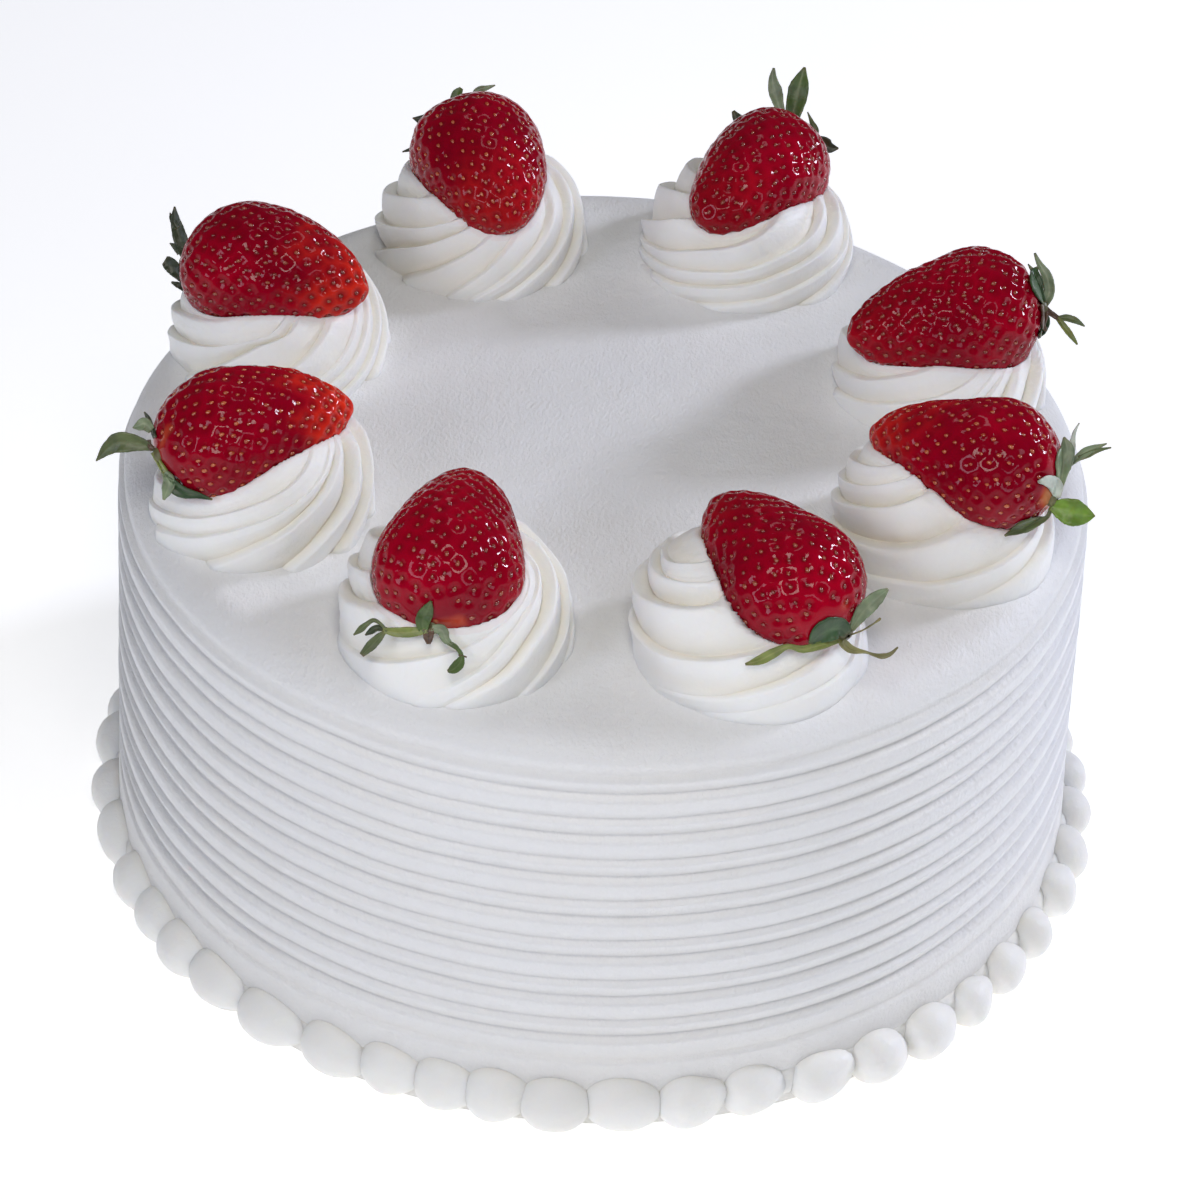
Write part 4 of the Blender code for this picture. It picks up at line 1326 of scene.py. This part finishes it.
# where the camera stands and how it is turned: the leaf traces are read in its directions
view = {"place": (0.0, -0.79677, 0.67748), "pitch": 37.82, "roll": 2.63, "yaw": -0.02, "lens": 128.76}

viewTurn = turnAbout("X", 90 - view["pitch"], 3) @ turnAbout("Z", view["roll"], 3)
viewRight, viewUp, viewNear = np.array(viewTurn).T


def ribLine(points, rows):
    # a smooth run through the traced points, with its width
    points = np.array(points, float)
    gaps = np.linalg.norm(np.diff(points[:, :3], axis=0), axis=1)
    places = np.concatenate([[0], np.cumsum(gaps)]) / gaps.sum()
    padded = np.vstack([2 * points[0] - points[1], points, 2 * points[-1] - points[-2]])
    run = []
    for share in np.linspace(0, 1, rows):
        k = min(max(int(np.searchsorted(places, share, side="right")) - 1, 0), len(points) - 2)
        t = (share - places[k]) / (places[k + 1] - places[k])
        before, first, second, after = padded[k : k + 4]
        straight = 2 * first + (second - before) * t
        bend = (2 * before - 5 * first + 4 * second - after) * t**2
        run.append(0.5 * (straight + bend + (3 * first - before - 3 * second + after) * t**3))
    return np.array(run)


def inBerryOrCream(topping, matrix, centre, points):
    clear = leafShape["clearance"]
    local, along, _, sideways, middle, half = berryShell(topping, matrix, points, clear)
    berry = along & (sideways**2 + ((local[:, 2] - middle) / half) ** 2 < 1)
    reach = np.hypot(points[:, 0] - centre[0], points[:, 1] - centre[1])
    reach /= topping["rosette"][2] + 1.2 + clear
    height = (points[:, 2] - centre[2]) / (swirl["height"] + 1.2 + clear)
    power = swirl["squareness"]
    return berry | (reach**power + np.clip(height, 0, None) ** power < 1) & (height > -0.2)


def leafBlade(number, index, tone, trace):
    # rows of points from the stem end to the tip, from the middle of the calyx, and their colours
    s = leafShape
    rib = ribLine(trace, s["rows"])
    line = rib[:, :1] * viewRight + rib[:, 1:2] * viewUp + rib[:, 2:3] * viewNear
    along = np.gradient(line, axis=0)
    along /= np.linalg.norm(along, axis=1)[:, None]
    across = np.cross(viewNear, along)
    across /= np.linalg.norm(across, axis=1)[:, None]
    front = np.cross(along, across)
    blade, vein = (np.array(colour) for colour in leafTones[tone])
    turn = math.radians((number * 53 + index * 97) % 30 - 15)
    points, colours = [], []
    for row, share in enumerate(np.arange(s["rows"]) / (s["rows"] - 1)):
        half = max(rib[row, 3] / 2, 0.12)
        dryness = smooth(share, 0.9, 1.0) * 0.5 + (1 - smooth(share, 0.0, 0.12)) * 0.4
        for side in np.arange(s["columns"]) / (s["columns"] - 1) * 2 - 1:
            ragged = noise.noise(Vector((share * 14, side * 2, number * 7.0 + index)))
            tooth = 1 + 0.1 * ragged * abs(side)
            lift = abs(side) ** 1.5 * s["fold"] + side * math.sin(turn)
            ripple = 0.10 * math.sin(share * 17 + index) * abs(side)
            spot = line[row] + across[row] * (side * half * tooth * math.cos(turn))
            points.append(spot + front[row] * ((lift + ripple) * half))
            ribShade = math.exp(-((side / 0.14) ** 2))
            strand = 0.5 + 0.5 * math.cos((side * 2.6 - share * 1.1) * 6.28)
            shade = min(1, 0.85 * ribShade + 0.35 * strand**3 * (1 - ribShade))
            colour = blade + (vein - blade) * shade
            colours.append([*(colour + (np.array(s["dry"]) - colour) * dryness), 1])
    return points, colours


def addHub(mesh, origin, turn):
    # the hub that the leaves grow from
    s = leafShape
    bm = bmesh.new()
    bm.from_mesh(mesh)
    colourLayer = bm.verts.layers.float_color["leafColour"]
    rings = []
    for x, share in s["hubOutline"]:
        rings.append([])
        for angle in np.linspace(0, 2 * np.pi, s["hubSides"], endpoint=False):
            reach = share * s["hub"]
            spot = turn @ np.array([x, reach * math.cos(angle), reach * math.sin(angle)])
            point = bm.verts.new((origin + spot) * mm)
            point[colourLayer] = (*s["hubColour"], 1)
            rings[-1].append(point)
    for upper, lower in zip(rings[:-1], rings[1:]):
        for k in range(s["hubSides"]):
            after = (k + 1) % s["hubSides"]
            bm.faces.new((upper[k], lower[k], lower[after], upper[after]))
    bm.faces.new(rings[-1])
    bm.faces.new(list(reversed(rings[0])))
    bm.to_mesh(mesh)
    bm.free()
    mesh.shade_smooth()


def makeCalyx(number, topping):
    s = leafShape
    matrix, centre = berryFrame(topping)
    origin = toWorld(matrix, np.array([[-topping["berry"][3][0] / 2, *topping["stem"]]]))[0]
    points, faces, colours = [], [], []
    for index, (tone, *trace) in enumerate(leafTraces[number]):
        columns = s["columns"]
        for row in range(s["rows"] - 1):
            first = len(points) + row * columns
            faces += [(a, a + 1, a + columns + 1, a + columns) for a in range(first, first + columns - 1)]
        leafPoints, leafColours = leafBlade(number, index, tone, trace)
        points += leafPoints
        colours += leafColours
    points = np.array(points) + origin
    # a leaf comes out towards the viewer, or away where it shows behind its berry
    behind = matrix[:3, 0] @ viewNear > 0.1 and not topping.get("leavesInFront")
    nudge = viewNear * (s["nudge"] * (-1 if behind else 1))
    for _ in range(s["nudges"]):
        points[inBerryOrCream(topping, matrix, centre, points)] += nudge
    leaves = meshFrom("leaves", points * mm, faces)
    addAttribute(leaves, "leafColour", colours, "FLOAT_COLOR")
    holder = addObject("calyxMaker", leaves)
    shell = holder.modifiers.new("thickness", "SOLIDIFY")
    shell.thickness = s["thickness"] * mm
    shell.offset = 0.0
    mesh = finalMesh(f"calyx{number}", holder)
    bpy.data.meshes.remove(leaves)
    addHub(mesh, origin, matrix[:3, :3])
    addPiece(f"calyx{number}", mesh, leafFinish, [f"calyx_{number}"])


for number, topping in enumerate(toppings, start=1):
    makeCalyx(number, topping)
print("calyxes made")


# camera, floor and light, in metres

stage = {
    "floorTone": 0.93,
    "floorGlow": 0.51,
    "worldColour": (0.97, 0.98, 1.0),
    "worldStrength": 0.066,
    "aim": (0, 0, 0.1),
    "sensor": 36,
}

lights = {
    # name: azimuth from +X anticlockwise, elevation, distance, size, power, colour
    "key": (27, 24, 1.6, 0.26, 12.1, (0.96, 1.0, 1.19)),
    "frontLeft": (225, 28, 1.3, 0.44, 3.3, (0.94, 1.0, 1.22)),
    "frontRight": (310, 28, 1.3, 0.44, 1.9, (0.94, 1.0, 1.2)),
    "overhead": (268, 54, 0.56, 0.18, 1.08, (1.0, 0.97, 0.91)),
    "aboveBack": (92, 66, 0.46, 0.12, 0.14, (1.0, 1.0, 1.04)),
}


def makeFloor():
    mesh = meshFrom("floor", [(-9, -9, 0), (9, -9, 0), (9, 9, 0), (-9, 9, 0)], [(0, 1, 2, 3)])
    finish, _, _ = newMaterial(
        "paleFloor",
        0.7,
        Base_Color=(*[stage["floorTone"]] * 3, 1),
        Emission_Color=(1.0, 1.0, 1.0, 1),
        Emission_Strength=stage["floorGlow"],
    )
    mesh.materials.append(finish)
    floor = addObject("floor", mesh)
    floor.location.z = -0.0002
    floor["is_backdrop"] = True


def makeWorld():
    world = bpy.data.worlds.new("studio")
    world.use_nodes = True
    background = world.node_tree.nodes["Background"].inputs
    background["Color"].default_value = (*stage["worldColour"], 1)
    background["Strength"].default_value = stage["worldStrength"]
    bpy.context.scene.world = world


def makeLight(name, azimuth, elevation, distance, size, power, colour):
    lamp = bpy.data.lights.new(name, "AREA")
    lamp.shape = "SQUARE"
    lamp.size = size
    lamp.energy = power
    lamp.color = colour
    azimuth, elevation = math.radians(azimuth), math.radians(elevation)
    level = math.cos(elevation)
    away = Vector((math.cos(azimuth) * level, math.sin(azimuth) * level, math.sin(elevation)))
    holder = addObject(name, lamp)
    holder.location = Vector(stage["aim"]) + away * distance
    holder.rotation_euler = away.to_track_quat("Z", "Y").to_euler()


def makeCamera():
    camera = bpy.data.cameras.new("camera")
    camera.lens = view["lens"]
    camera.sensor_width = stage["sensor"]
    camera.clip_start = 0.01
    holder = addObject("camera", camera)
    turn = turnAbout("Z", view["yaw"]) @ turnAbout("X", 90 - view["pitch"]) @ turnAbout("Z", view["roll"])
    holder.matrix_world = Matrix.Translation(view["place"]) @ turn
    bpy.context.scene.camera = holder
    settings = bpy.context.scene.view_settings
    settings.view_transform = "Standard"
    settings.look = "None"
    settings.exposure = 0.0


makeFloor()
makeWorld()
for name, values in lights.items():
    makeLight(name, *values)
makeCamera()
print("stage set")

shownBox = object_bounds()
for label, box in (("cad", cadBox), ("shown", shownBox)):
    print(label, "box", [[round(value, 4) for value in corner] for corner in box])
